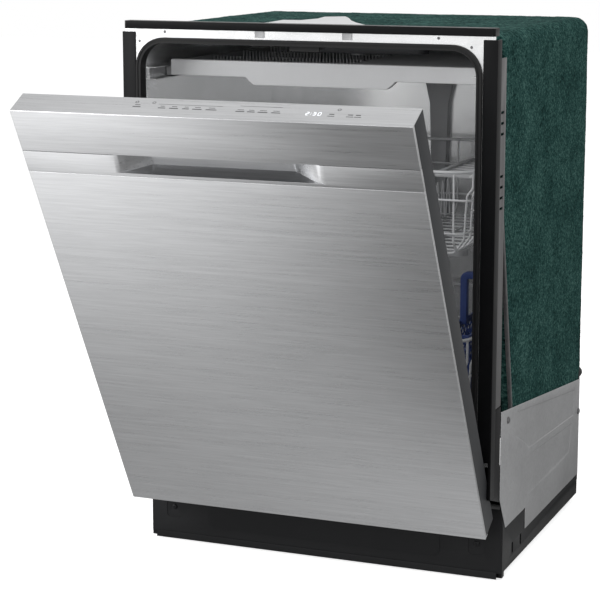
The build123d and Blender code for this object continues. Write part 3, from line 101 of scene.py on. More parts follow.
def plug(tree, target, item):
    """Links a value's socket to an input, or sets the input to a number."""
    if isinstance(item, Value):
        tree.links.new(item.socket, target)
    else:
        target.default_value = item


class Value:
    """An output socket that takes part in arithmetic."""

    def __init__(self, recipe, socket):
        self.recipe = recipe
        self.socket = socket

    def math(self, operation, first, second):
        return self.recipe.node("Math", {0: first, 1: second}, operation=operation)

    def __add__(self, other):
        return self.math("ADD", self, other)

    def __radd__(self, other):
        return self.math("ADD", other, self)

    def __sub__(self, other):
        return self.math("SUBTRACT", self, other)

    def __rsub__(self, other):
        return self.math("SUBTRACT", other, self)

    def __mul__(self, other):
        return self.math("MULTIPLY", self, other)

    def __rmul__(self, other):
        return self.math("MULTIPLY", other, self)

    def __truediv__(self, other):
        return self.math("DIVIDE", self, other)


print("sockets take part in sums")

# %% [markdown]
# ## Recipes
# A recipe is a shader tree that grows node by node. A finish is the recipe of one material,
# with the patterns that nearly every surface needs: stretched noise, a ramp, a slight relief.

# %% Recipes and finishes


class Recipe:
    """A shader tree that grows node by node."""

    def __init__(self, tree):
        self.tree = tree

    def node(self, kind, inputs=None, out=0, stops=None, **settings):
        node = self.tree.nodes.new("ShaderNode" + kind)
        for key, value in settings.items():
            setattr(node, key, value)
        if stops:
            ramp = node.color_ramp
            while len(ramp.elements) < len(stops):
                ramp.elements.new(0.5)
            for element, (place, colour) in zip(ramp.elements, stops):
                element.position = place
                element.color = (*colour, 1)
        for key, value in (inputs or {}).items():
            plug(self.tree, node.inputs[key], value)
        return Value(self, node.outputs[out])

    def axis(self, vector, name):
        return self.node("SeparateXYZ", {"Vector": vector}, out=name)

    def fade(self, value, start, end, low, high):
        """low as far as start, high beyond end, and an even change between."""
        limits = {"From Min": start, "From Max": end, "To Min": low, "To Max": high}
        return self.node("MapRange", {"Value": value, **limits})


class Finish(Recipe):
    """One material with a Principled shader."""

    def __init__(self, name, **uniform):
        self.material = bpy.data.materials.new(name)
        self.material.use_nodes = True
        super().__init__(self.material.node_tree)
        self.shader = self.tree.nodes["Principled BSDF"]
        for words, value in uniform.items():
            label = words.replace("_", " ").title().replace("Ior", "IOR")
            self.shader.inputs[label].default_value = value

    def place(self, x=1.0, y=1.0, z=1.0, turn=(0, 0, 0)):
        """Object coordinates, stretched and turned."""
        coordinates = self.node("TexCoord", out="Object")
        inputs = {"Vector": coordinates, "Scale": (x, y, z), "Rotation": turn}
        return self.node("Mapping", inputs)

    def cloud(self, scale, detail=2.0, rough=0.5, where=None):
        """Soft noise between 0 and 1."""
        where = where or self.place()
        inputs = {"Vector": where, "Scale": scale, "Detail": detail, "Roughness": rough}
        return self.node("TexNoise", inputs)

    def set(self, name, value):
        plug(self.tree, self.shader.inputs[name], value)

    def colour(self, amount, *stops, into="Base Color"):
        self.set(into, self.node("ValToRGB", {"Fac": amount}, stops=stops))

    def shades(self, amount, tone, darker, lighter):
        """A ramp from a darker to a lighter shade of one tone."""
        dark = [value * darker for value in tone]
        light = [min(1.0, value * lighter) for value in tone]
        self.colour(amount, (0.3, dark), (0.7, light))

    def bump(self, height, strength, distance):
        inputs = {"Height": height, "Strength": strength, "Distance": distance}
        self.set("Normal", self.node("Bump", inputs))


print("shader helpers are ready")

# %% [markdown]
# ## Brushed steel
# The door's sheet is brushed along its width. The grain is noise stretched far along X, so
# it stays level on the leaning door. It varies the colour a little, the roughness more, and
# gives a very shallow relief.

# %% Steel finishes


def brushed_steel(name, tone, across, rough, contrast):
    """Streaks along X, with finer ones among them."""
    finish = Finish(name, metallic=0.92)
    along = 6.0
    streak = finish.cloud(1.0, 3.0, 0.6, finish.place(along, across, across))
    fine = finish.cloud(1.0, 2.0, 0.5, finish.place(along * 4, across * 3.2, across * 3.2))
    haze = finish.cloud(3.0, 2.0)
    grain = 0.6 * streak + 0.4 * fine
    finish.shades(0.8 * grain + 0.2 * haze, tone, 1 - contrast, 1 + contrast)
    finish.set("Roughness", rough + 0.22 * (grain - 0.5) + 0.06 * (haze - 0.5))
    finish.bump(grain, 0.35, 0.00006)
    return finish.material


def sheet_steel(name, tone, rough, metallic):
    """Plain rolled sheet: a broad haze and a few fine scratches."""
    finish = Finish(name, metallic=metallic)
    haze = finish.cloud(6.0, 4.0, 0.6)
    rub = finish.cloud(1.0, 3.0, 0.6, finish.place(40, 900, 60, (0.3, 0.2, 0.5)))
    finish.shades(0.7 * haze + 0.3 * rub, tone, 0.88, 1.08)
    finish.set("Roughness", rough + 0.16 * (haze - 0.5) + 0.08 * (rub - 0.5))
    finish.bump(0.5 * haze + 0.5 * rub, 0.2, 0.00005)
    return finish.material


def galvanised(name, dark, light):
    """Zinc-coated sheet: faint crystals over a dull grey."""
    finish = Finish(name, metallic=0.55)
    crystals = finish.node("TexVoronoi", {"Vector": finish.place(), "Scale": 240.0}, out="Color")
    patch = finish.node("SeparateColor", {"Color": crystals})
    haze = finish.cloud(9.0, 5.0, 0.62)
    mix = 0.25 * patch + 0.75 * haze
    finish.colour(mix, (0.25, dark), (0.75, light))
    finish.set("Roughness", 0.42 + 0.12 * (mix - 0.5))
    finish.bump(haze, 0.15, 0.0001)
    return finish.material


steel_door = brushed_steel("door_brushed_steel", (0.60, 0.605, 0.615), 260.0, 0.30, 0.15)
# A darker copy of the door's steel: painted shade for the handle pocket's floor.
steel_pocket_shade = brushed_steel("pocket_painted_shade_steel", (0.26, 0.263, 0.27), 250.0, 0.4, 0.16)
steel_tub = sheet_steel("tub_satin_steel", (0.80, 0.805, 0.81), 0.22, 0.85)
steel_flange = sheet_steel("bright_steel", (0.66, 0.665, 0.67), 0.26, 0.9)
steel_zinc = galvanised("zinc_sheet", (0.415, 0.418, 0.425), (0.53, 0.535, 0.542))
steel_post = galvanised("post_zinc_sheet", (0.115, 0.114, 0.117), (0.165, 0.163, 0.166))
print("steel finishes:", steel_door.name, steel_tub.name, steel_zinc.name)

# %% [markdown]
# ## Plastics, rubber and paint
# Mouldings are one colour, yet never quite flat: the tool leaves a fine grain, and hands and
# steam leave duller patches. Each recipe varies the tone slightly and the roughness more.

# %% Moulded finishes


def moulded(name, tone, rough=0.45, grain=1500.0, relief=0.04, spread=0.12, gloss=0.42):
    """relief is the grain's depth in millimetres, spread the share by which the tone varies."""
    finish = Finish(name, specular_ior_level=gloss)
    haze = finish.cloud(14.0, 4.0, 0.6)
    pores = finish.cloud(grain, 2.0, 0.5)
    finish.shades(0.6 * haze + 0.4 * pores, tone, 1 - spread, 1 + spread)
    finish.set("Roughness", rough + 0.18 * (haze - 0.5) + 0.1 * (pores - 0.5))
    finish.bump(pores, 0.4, relief / 1000)
    return finish.material


black_plastic = moulded("black_grained_plastic", (0.0050, 0.0052, 0.0058), 0.34, gloss=0.09)
base_plastic = moulded("base_black_plastic", (0.0115, 0.0118, 0.0128), 0.5, 900.0, 0.08, gloss=0.2)
rubber = moulded("gasket_rubber", (0.005, 0.005, 0.0054), 0.6, 2200.0, gloss=0.3)
side_paint = moulded("door_side_paint", (0.038, 0.040, 0.043), 0.42, 2600.0, 0.02, 0.06, 0.2)
rack_grey = moulded("rack_front_plastic", (0.66, 0.665, 0.675), 0.4, 1800.0, 0.02, 0.05)
tray_plastic = moulded("tray_dark_plastic", (0.30, 0.303, 0.31), 0.5, 1400.0, gloss=0.4)
pale_plastic = moulded("pale_grey_plastic", (0.40, 0.405, 0.415), 0.45, 1600.0, 0.03, 0.06)
dark_plastic = moulded("dark_grey_plastic", (0.045, 0.047, 0.052), 0.45, 1400.0)
navy_plastic = moulded("navy_plastic", (0.028, 0.049, 0.160), 0.38, 1800.0, 0.02)
white_plastic = moulded("white_plastic", (0.74, 0.75, 0.76), 0.42, 1800.0, 0.02, 0.05)
wire_coat = moulded("coated_wire", (0.60, 0.608, 0.62), 0.28, 1200.0, 0.03, 0.07)
ink = moulded("printed_ink", (0.05, 0.051, 0.055), 0.5, 3000.0, 0.01)
digit_glow = Finish("display_digits", emission_strength=0.9, roughness=0.4)
glow_haze = digit_glow.cloud(900.0)
dim_end = (0.3, (0.8, 0.85, 0.9))
digit_glow.colour(glow_haze, dim_end, (0.7, (0.95, 0.97, 1.0)))
digit_glow.colour(glow_haze, dim_end, (0.7, (1, 1, 1)), into="Emission Color")
print("moulded finishes are ready")

# %% [markdown]
# ## Felt
# The sound blanket is pressed from shredded cloth, so its green is mottled with darker and
# paler threads that lie in all directions. Three stretched noises, each turned another way,
# stand for the threads. A fine round one makes tufts, and a broad one lets the tone drift.

# %% Felt finish


def felt(name):
    finish = Finish(name, roughness=0.95, specular_ior_level=0.05)
    tufts = finish.cloud(200.0, 3.0, 0.7)
    drift = finish.cloud(14.0, 3.0, 0.6)
    turns = ((0.2, 0.9, 0.4), (1.3, 0.3, 2.0), (2.2, 1.6, 0.8))
    threads = [
        finish.cloud(1.0, 3.0, 0.65, finish.place(95, 380, 380, turn)) for turn in turns
    ]
    fibre = (threads[0] + threads[1] + threads[2]) / 3.0
    finish.colour(
        0.12 * drift + 0.33 * tufts + 0.55 * fibre,
        (0.42, (0.003, 0.014, 0.013)),
        (0.47, (0.012, 0.045, 0.041)),
        (0.52, (0.029, 0.084, 0.075)),
        (0.57, (0.085, 0.180, 0.158)),
    )
    finish.bump(0.6 * fibre + 0.4 * tufts, 0.7, 0.0007)
    return finish.material


felt_green = felt("green_felt")
thread_pale = moulded("pale_threads", (0.070, 0.155, 0.136), 0.9, 900.0, gloss=0.05)
thread_dark = moulded("dark_threads", (0.004, 0.016, 0.015), 0.9, 900.0, gloss=0.05)
print("felt:", felt_green.name)

# %% [markdown]
# ## Making pieces
# A measured part can be copied and its edges rounded, because real sheet and mouldings never
# end in a knife edge. A plain list of boxes serves small ribs and marks. Whatever is made,
# it then rides on its body, and the nodes it stands for are hidden.

# %% Mesh helpers


def mm(*values):
    return Vector(value / 1000 for value in values)


def shade(mesh, angle=32):
    mesh.shade_smooth()
    mesh.set_sharp_from_angle(angle=math.radians(angle))


def put(name, data):
    """A new object in the scene."""
    made = bpy.data.objects.new(name, data)
    scene_objects.link(made)
    return made


def into_mesh(bm, name):
    """Ends an edit and keeps its result as a mesh."""
    mesh = bpy.data.meshes.new(name)
    bm.to_mesh(mesh)
    bm.free()
    return mesh


def from_bmesh(name, bm, material):
    mesh = into_mesh(bm, name)
    shade(mesh)
    mesh.materials.append(material)
    return put(name, mesh)


def baked(source, name, material):
    """The evaluated object as a plain mesh in a new object."""
    graph = bpy.context.evaluated_depsgraph_get()
    mesh = bpy.data.meshes.new_from_object(source.evaluated_get(graph))
    old = source.data
    bpy.data.objects.remove(source)
    if old.users == 0:
        bpy.data.meshes.remove(old)
    mesh.materials.clear()
    mesh.materials.append(material)
    return put(name, mesh)


def settle(piece, body, slot, *nodes):
    """Ties a finished piece to its body and hides the nodes it stands for; the slot, its finish,
    is not used.
    """
    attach(piece, body)
    if nodes:
        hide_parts(*nodes)
    return piece


print("mesh helpers are ready")

# %% Copies of measured parts


def merge_flat(bm):
    """Makes one face of neighbours that lie in one plane."""
    flat = math.radians(1.0)
    bmesh.ops.dissolve_limit(bm, angle_limit=flat, verts=bm.verts, edges=bm.edges)


def drop_twin_faces(bm):
    """Two solids that touch share a face twice. Without both faces they become one piece."""
    bm.verts.index_update()
    groups = {}
    for face in bm.faces:
        key = frozenset(vert.index for vert in face.verts)
        groups.setdefault(key, []).append(face)
    twins = [face for faces in groups.values() if len(faces) > 1 for face in faces]
    bmesh.ops.delete(bm, geom=twins, context="FACES_ONLY")


def merged_copy(node):
    """A CAD node's mesh with its loose triangles welded into whole faces."""
    bm = bmesh.new()
    bm.from_mesh(frame["nodes"][node].data)
    bmesh.ops.remove_doubles(bm, verts=bm.verts, dist=0.00001)
    merge_flat(bm)
    drop_twin_faces(bm)
    merge_flat(bm)
    return bm


def rounded(name, node, body, slot, material, width, segments=2, sharp=28):
    """A CAD node whose sharp edges are rounded by so many millimetres, standing for it."""
    source = put(name + "_source", into_mesh(merged_copy(node), name))
    source.data.shade_smooth()
    bevel = source.modifiers.new("edges", "BEVEL")
    bevel.width = width / 1000
    bevel.segments = segments
    bevel.limit_method = "ANGLE"
    bevel.angle_limit = math.radians(sharp)
    bevel.harden_normals = True
    return settle(baked(source, name, material), body, slot, node)


def paint(node, material):
    """Gives a CAD node that keeps its own mesh a surface."""
    shape = frame["nodes"][node]
    shape.data.materials.clear()
    shape.data.materials.append(material)


print("measured parts can be rounded or painted")

# %% Boxes, rings and rows


def spread(low, high, count):
    """Evenly spaced values from low to high."""
    return [low + (high - low) * i / (count - 1) for i in range(count)]


def round_points(radius, count):
    turns = [2 * math.pi * k / count for k in range(count)]
    return [(radius * math.cos(turn), radius * math.sin(turn)) for turn in turns]


def add_box(bm, low, high, round_by=0.0, segments=2):
    """A box between two corners, with rounded edges if asked."""
    corners = bmesh.ops.create_cube(bm, size=1.0)["verts"]
    low, high = Vector(low), Vector(high)
    for corner in corners:
        corner.co = Vector(
            (low[i] + high[i]) / 2 + corner.co[i] * (high[i] - low[i]) for i in range(3)
        )
    if round_by:
        edges = list({edge for corner in corners for edge in corner.link_edges})
        how = {"offset": round_by, "segments": segments, "affect": "EDGES", "profile": 0.5}
        bmesh.ops.bevel(bm, geom=edges, **how)


def skin(bm, rows):
    """Faces between rings of points, and over both ends."""
    for first, second in zip(rows, rows[1:]):
        for k in range(len(first)):
            after = (k + 1) % len(first)
            bm.faces.new((first[k], first[after], second[after], second[k]))
    bm.faces.new(reversed(rows[0]))
    bm.faces.new(rows[-1])
    bmesh.ops.recalc_face_normals(bm, faces=bm.faces)


def joined(name, pieces):
    """Several meshes as one, with their materials kept."""
    bm = bmesh.new()
    materials = []
    for piece in pieces:
        shift, before = len(materials), len(bm.faces)
        materials += list(piece.data.materials)
        bm.from_mesh(piece.data)
        bm.faces.ensure_lookup_table()
        for face in bm.faces[before:]:
            face.material_index += shift
        bpy.data.objects.remove(piece)
    mesh = into_mesh(bm, name)
    for material in materials:
        mesh.materials.append(material)
    return put(name, mesh)


print("a row of five:", spread(0, 1, 5))

# %% [markdown]
# ## Trees that grow shapes
# Geometry Nodes repeat a shape many times over. A small class builds such a tree from a list
# of nodes and lines that say which socket leads where. It sets the inputs of each use by
# their identifiers, and bakes the result.

# %% A class for Geometry Nodes trees


class Tree:
    """A Geometry Nodes tree with named inputs, which turns a plain mesh into a piece."""

    def __init__(self, name, output, inputs, kinds):
        self.tree = bpy.data.node_groups.new(name, "GeometryNodeTree")
        add_socket = self.tree.interface.new_socket
        self.keys = {}
        for label, kind in inputs.items():
            socket = add_socket(label, in_out="INPUT", socket_type="NodeSocket" + kind)
            self.keys[label] = socket.identifier
        add_socket(output, in_out="OUTPUT", socket_type="NodeSocketGeometry")
        self.nodes = {
            "start": self.tree.nodes.new("NodeGroupInput"),
            "end": self.tree.nodes.new("NodeGroupOutput"),
        }
        for label, kind in kinds.items():
            own = kind.startswith(("Function", "Shader"))
            self.nodes[label] = self.tree.nodes.new(kind if own else "GeometryNode" + kind)

    def set(self, node, values):
        for key, value in values.items():
            self.nodes[node].inputs[key].default_value = value

    def link(self, lines):
        """A line is "node.Output > node.Input". A number may stand for a socket's name."""
        for line in lines.strip().splitlines():
            ends = []
            for end in line.split(">"):
                node, socket = end.strip().split(".")
                ends.append((self.nodes[node], int(socket) if socket.isdigit() else socket))
            (first, out), (last, into) = ends
            self.tree.links.new(first.outputs[out], last.inputs[into])

    def grow(self, name, mesh, material, **settings):
        """The tree run on a mesh with these settings, baked to a plain piece."""
        source = put(name + "_source", mesh)
        modifier = source.modifiers.new("tree", "NODES")
        modifier.node_group = self.tree
        for label, value in settings.items():
            modifier[self.keys[label]] = value
        return baked(source, name, material)


print("geometry trees can be built")

# %% [markdown]
# ## Bent wire
# Racks are made of coated wire: straight runs with tight bends. Drawing only the corner
# points is enough when a tree rounds the corners and pushes a circle along them. The same
# tree serves racks, lattices, hooks and springs.

# %% A tree that turns corner points into round wire
bent_wire = Tree(
    "bent_wire",
    "Wire",
    dict(
        Runs="Geometry", Bend="Float", Radius="Float", Sides="Int", Steps="Int", Coat="Material"
    ),
    dict(
        curve="MeshToCurve",
        fillet="FilletCurve",
        circle="CurvePrimitiveCircle",
        sweep="CurveToMesh",
        smooth="SetShadeSmooth",
        realize="RealizeInstances",
        coat="SetMaterial",
    ),
)
bent_wire.nodes["fillet"].mode = "POLY"
bent_wire.set("fillet", {"Limit Radius": True})
bent_wire.set("sweep", {"Fill Caps": True})
bent_wire.link("""
    start.Runs > curve.Mesh
    curve.Curve > fillet.Curve
    start.Steps > fillet.Count
    start.Bend > fillet.Radius
    start.Sides > circle.Resolution
    start.Radius > circle.Radius
    fillet.Curve > sweep.Curve
    circle.Curve > sweep.Profile Curve
    sweep.Mesh > smooth.Geometry
    smooth.Geometry > realize.Geometry
    realize.Geometry > coat.Geometry
    start.Coat > coat.Material
    coat.Geometry > end.Wire
""")


def wires(name, runs, radius, bend, material=wire_coat, sides=8, steps=4):
    """Round wire along lists of corner points in millimetres. A run is (points, closed)."""
    bm = bmesh.new()
    for points, closed in runs:
        verts = [bm.verts.new(mm(*point)) for point in points]
        for first, second in zip(verts, verts[1:]):
            bm.edges.new((first, second))
        if closed:
            bm.edges.new((verts[-1], verts[0]))
    settings = {"Bend": bend / 1000, "Radius": radius / 1000, "Sides": sides, "Steps": steps}
    piece = bent_wire.grow(name, into_mesh(bm, name), material, Coat=material, **settings)
    bm = bmesh.new()
    bm.from_mesh(piece.data)
    bmesh.ops.recalc_face_normals(bm, faces=bm.faces)
    bm.to_mesh(piece.data)
    bm.free()
    shade(piece.data, 50)
    return piece


print("wire tree inputs:", sorted(bent_wire.keys))

# %% [markdown]
# ## The upper rack
# Its rim is a thicker wire with wide corners. Below it, thinner rings tie the U-shaped wires
# together. The side runs step inwards under the rim, which the photograph shows on the right.
# Plates lean on hairpins: one wire bent up and down again.

# %% Runs of a rack


def ring(half, front, back, z):
    return [(-half, front, z), (half, front, z), (half, back, z), (-half, back, z)], True


def cross_run(y, half, step, floor, top, jog):
    """From one rim over the floor to the other, stepping inwards at the jog."""
    right = [
        (half, y, top),
        (half, y, jog + 8),
        (half - step, y, jog - 4),
        (half - step - 4, y, floor + 22),
        (half - step - 20, y, floor),
    ]
    left = [(-x, y, z) for x, y, z in reversed(right)]
    return right + left, False


def long_run(x, front, back, floor, top):
    front_half = [(x, front, top), (x, front + 2, floor + 16), (x, front + 18, floor)]
    back_half = [(x, back - 18, floor), (x, back - 2, floor + 16), (x, back, top)]
    return front_half + back_half, False


def hairpin(x, y, low, high, width):
    left = [(x, y - width, low), (x, y - width * 0.25, high - 2)]
    right = [(x, y + width * 0.25, high - 2), (x, y + width, low)]
    return left + [(x, y, high)] + right, False


def rack_wires(name, rim, grid, grid_radius, pins, pin_radius):
    """A thick rim with wide corners, the grid under it, and its rows of hairpins."""
    rim_radius, rim_bend, grid_bend, pin_bend = 2.6, 42, 11, 3
    return [
        wires(name + "_rim", [rim], rim_radius, rim_bend, sides=10, steps=8),
        wires(name + "_grid", grid, grid_radius, grid_bend),
        wires(name + "_tines", pins, pin_radius, pin_bend, sides=7, steps=3),
    ]


print("a rack is made of rings, runs and hairpins")

# %% Upper rack wires
upper_top, upper_lines = 640.5, spread(-222, 222, 8)
upper_runs = [ring(249.6, 50.4, 483.6, 598), ring(238, 54, 480, 546)]
upper_runs += [cross_run(y, 245.6, 9, 512.6, upper_top, 606) for y in spread(76, 458, 13)]
upper_runs += [long_run(x, 54.5, 479.5, 516.2, upper_top) for x in upper_lines]
upper_pins = [
    hairpin(x, y, 517, 580, 11) for x in upper_lines[1:-1:2] for y in spread(110, 424, 12)
]
upper_rim = ring(249.4, 50.6, 483.4, 640)
upper_wires = rack_wires("upper", upper_rim, upper_runs, 1.75, upper_pins, 1.4)
rod_runs = [([(238, 86.5, 630), (238, 307.5, 630)], False)]
for y in (88.5, 305.5):
    rod_runs.append(([(238, y, 630), (244.5, y, 634), (247, y, 640)], False))
shelf_rod = wires("shelf_rod", rod_runs, 1.9, 3, steps=3)
upper_basket = joined("upper_basket", [*upper_wires, shelf_rod])
settle(upper_basket, "upper_rack", "rack_wire", "upper_rack_basket")
print("upper rack:", len(upper_runs) + len(upper_pins) + 1, "wires")

# %% [markdown]
# ## The lower rack
# It is built like the upper one, deeper and of thicker wire. One row of hairpins is a piece
# of its own on a rod, because it tilts.

# %% Lower rack wires
lower_top, pin_places = 383.5, spread(96, 436, 13)
lower_runs = [ring(249.6, 34.4, 495.6, 325.5), ring(246, 38, 492, 270)]
lower_runs += [cross_run(y, 245.6, 4, 236.6, lower_top, 340) for y in spread(60, 470, 14)]
lower_runs += [long_run(x, 38.5, 491.5, 240.2, lower_top) for x in spread(-222, 222, 9)]
lower_pins = [hairpin(x, y, 241, 319, 12) for x in (-166.5, 55.5, 166.5) for y in pin_places]
lower_rim = ring(249.4, 34.6, 495.4, 383)
lower_wires = rack_wires("lower", lower_rim, lower_runs, 1.85, lower_pins, 1.5)
lower_basket = joined("lower_basket", lower_wires)
settle(lower_basket, "lower_rack", "rack_wire", "lower_rack_basket")

fold_x = -55.5
fold_line = [([(fold_x, 72, 244.4), (fold_x, 458, 244.4)], False)]
fold_rod = wires("fold_rod", fold_line, 1.9, 3, steps=3)
fold_runs = [hairpin(fold_x, y, 245, 317, 10) for y in pin_places]
fold_pins = wires("fold_pins", fold_runs, 1.5, 3, sides=7, steps=3)
fold_row = joined("fold_row", [fold_rod, fold_pins])
settle(fold_row, "folding_tines_body", "rack_wire", "folding_tines")
print("lower rack:", len(lower_runs) + len(lower_pins) + 1, "wires")

# %% [markdown]
# ## The third rack
# A shallow tray for flat tools lies under the tub's ceiling. Its pale front bar has a deeper
# middle part to grip. Behind it the floor is dark plastic: a comb of thin fins on the left,
# with three rows of upright teeth, and wide curved slats on the right.

# %% Third rack tray
rounded("third_front", "third_rack_front", "third_rack", "grey_plastic", rack_grey, 1.6, 3)


def tray():
    """The tray's border, side runners, cross ribs, comb and teeth, in metres."""
    half, border = 0.2455, 0.2525
    front, inner_front, inner_back, back = 0.0785, 0.0835, 0.4855, 0.4915
    comb_left, comb_right, fin = -0.236, 0.02, 0.0022
    bm = bmesh.new()
    for side in (-1, 1):
        x0, x1 = sorted((side * half, side * border))
        add_box(bm, (x0, front, 0.772), (x1, back, 0.7945), 0.0015)
        x0, x1 = sorted((side * border, side * 0.2698))
        add_box(bm, (x0, 0.082, 0.770), (x1, 0.482, 0.784), 0.001)
    add_box(bm, (-half, inner_back, 0.772), (half, back, 0.7945), 0.0015)
    add_box(bm, (-half, front, 0.772), (half, inner_front, 0.7935), 0.0015)
    for y in spread(0.10, 0.47, 16):
        add_box(bm, (-half, y, 0.7725), (half, y + 0.003, 0.776), 0.0005, 1)
    for x in spread(comb_left, comb_right, 33):
        add_box(bm, (x, inner_front, 0.774), (x + fin, inner_back, 0.784), 0.0004, 1)
    for y in (0.19, 0.31, 0.43):
        for x in spread(comb_left, comb_right, 45):
            add_box(bm, (x, y, 0.775), (x + fin, y + 0.003, 0.7948))
    add_box(bm, (0.026, inner_front, 0.7725), (0.030, inner_back, 0.7925), 0.0008, 1)
    return bm


def slats(bm):
    """Wide slats whose plan curves towards the right."""
    left, length, first_y, pitch, sag = 0.031, 0.214, 0.096, 0.031, 0.016
    section = ((-0.006, 0.7855), (-0.006, 0.7905), (0.006, 0.7945), (0.006, 0.7895))
    for i in range(12):
        rows = []
        for t in spread(0, 1, 9):
            x = left + length * t
            y = first_y + pitch * i + sag * math.sin(math.pi * t * 0.8)
            rows.append([bm.verts.new((x, y + out, z)) for out, z in section])
        skin(bm, rows)


tray_mesh = tray()
slats(tray_mesh)
third_tray = from_bmesh("third_tray", tray_mesh, tray_plastic)
settle(third_tray, "third_rack", "dark_plastic", "third_rack_tray")
print("third rack tray:", len(third_tray.data.polygons), "faces")

# %% [markdown]
# ## The silverware basket
# It is a moulded cage in navy blue. Its walls are a diagonal lattice between a solid rim and
# foot, and a flat arched handle crosses it.

# %% Basket lattice
basket_low = (180.0, 112.0, 242.6)
basket_high = (233.0, 340.0, 372.0)


def diagonals(width, height, step):
    """Segments of a diamond lattice, cut at a rectangle."""
    lines = []
    count = int((width + height) / step) + 1
    for k in range(1, count):
        s = k * step
        a = (max(0.0, s - height), min(s, height))
        b = (min(s, width), max(0.0, s - width))
        if math.dist(a, b) > 3:
            lines.append((a, b))
            lines.append(((width - a[0], a[1]), (width - b[0], b[1])))
    return lines


def basket_runs():
    inset = 1.4
    x0, y0, z0 = (value + inset for value in basket_low)
    x1, y1, z1 = (value - inset for value in basket_high)
    runs = []
    for (a, b), (c, d) in diagonals(y1 - y0, z1 - z0, 15.5):
        for x in (x0, x1):
            runs.append(([(x, y0 + a, z0 + b), (x, y0 + c, z0 + d)], False))
    for (a, b), (c, d) in diagonals(x1 - x0, z1 - z0, 12.9):
        for y in (y0, y1):
            runs.append(([(x0 + a, y, z0 + b), (x0 + c, y, z0 + d)], False))
    for (a, b), (c, d) in diagonals(x1 - x0, y1 - y0, 12.5):
        runs.append(([(x0 + a, y0 + b, z0), (x0 + c, y0 + d, z0)], False))
    return runs


basket_lattice = wires("basket_lattice", basket_runs(), 1.15, 1, navy_plastic, 6, 1)
print("basket lattice:", len(basket_runs()), "bars")

# %% Basket frame and handle


def basket_frame():
    """Foot, belt and rim, upright posts, and the bars of two partitions."""
    bm = bmesh.new()
    (x0, y0, z0), (x1, y1, z1) = (Vector(c) / 1000 for c in (basket_low, basket_high))
    wall, edge = 0.0028, 0.0006
    for low_z, high_z in ((z0, z0 + 0.005), (z0 + 0.062, z0 + 0.066), (z1 - 0.007, z1)):
        for (left, front), (right, back) in (
            ((x0, y0), (x0 + wall, y1)),
            ((x1 - wall, y0), (x1, y1)),
            ((x0 + wall, y0), (x1 - wall, y0 + wall)),
            ((x0 + wall, y1 - wall), (x1 - wall, y1)),
        ):
            add_box(bm, (left, front, low_z), (right, back, high_z), edge)
    for y in spread(y0, y1 - wall, 4):
        for x in (x0, x1 - wall):
            add_box(bm, (x, y, z0), (x + wall, y + wall, z1), edge)
    for y in (0.188, 0.264):
        for z in (0.262, 0.292, 0.322, 0.350):
            add_box(bm, (x0 + wall, y - 0.001, z), (x1 - wall, y + 0.001, z + 0.006), 0.0004, 1)
    return bm


basket_body = from_bmesh("basket_body", basket_frame(), navy_plastic)
basket_cage = joined("basket_cage", [basket_lattice, basket_body])
settle(basket_cage, "basket_body", "navy_plastic", "silverware_basket")
rounded("basket_grip", "basket_handle", "basket_body", "navy_plastic", navy_plastic, 1.6, 3)
print("basket cage:", len(basket_cage.data.polygons), "faces")

# %% [markdown]
# ## The felt blanket
# Felt is thick and soft, so a box with perfect faces looks wrong at once. The measured solid
# is remeshed into small even cells, which are then pushed in and out by slow and quick noise.
# The blanket's inner skin only sinks into the felt, so that it never pokes through the tub.

# %% Remesh and roughen the blanket


def felt_cells(name, node, cell):
    """A felt node cut into small even cells."""
    bm = merged_copy(node)
    bmesh.ops.triangulate(bm, faces=bm.faces)
    source = put(name + "_source", into_mesh(bm, name + "_source"))
    remesh = source.modifiers.new("cells", "REMESH")
    remesh.mode = "VOXEL"
    remesh.voxel_size = cell
    return baked(source, name, felt_green)


def roughen(mesh, centre, inward):
    """Moves outer points by waves and tufts, and inner points, or all of them, inwards."""
    clear, clear_inside = 0.0003, 0.0022
    count = len(mesh.vertices)
    places = [0.0] * (3 * count)
    normals = [0.0] * (3 * count)
    mesh.vertices.foreach_get("co", places)
    mesh.vertices.foreach_get("normal", normals)
    moved = []
    for i in range(0, 3 * count, 3):
        place = Vector(places[i:i + 3])
        out = Vector(normals[i:i + 3])
        wave = noise.noise(place * 7.0) * 0.0006 + noise.noise(place * 34.0) * 0.0003
        push = wave + noise.noise(place * 150.0) * 0.0004
        if inward:
            push = -abs(push) - clear
        elif (place - centre).dot(out) < 0:
            push = -abs(push) - clear_inside
        moved.extend(place + out * push)
    mesh.vertices.foreach_set("co", moved)
    mesh.update()
    mesh.shade_smooth()


def felt_piece(name, node, body, cell, inward):
    piece = felt_cells(name, node, cell)
    low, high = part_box(node)
    roughen(piece.data, (low + high) / 2, inward)
    settle(piece, body, "green_felt", node)
    return piece


blanket = felt_piece("felt_blanket", "insulation_blanket", "cabinet", 0.0062, False)
pad = felt_piece("felt_pad", "door_pad", "door", 0.0060, True)
print("blanket:", len(blanket.data.polygons), "cells, pad:", len(pad.data.polygons))

# %% [markdown]
# ## Loose threads
# Shredded cloth leaves short threads on the felt's outside. A tree scatters them with a
# fixed seed, each with its own turn and length, once in pale green and once in dark.

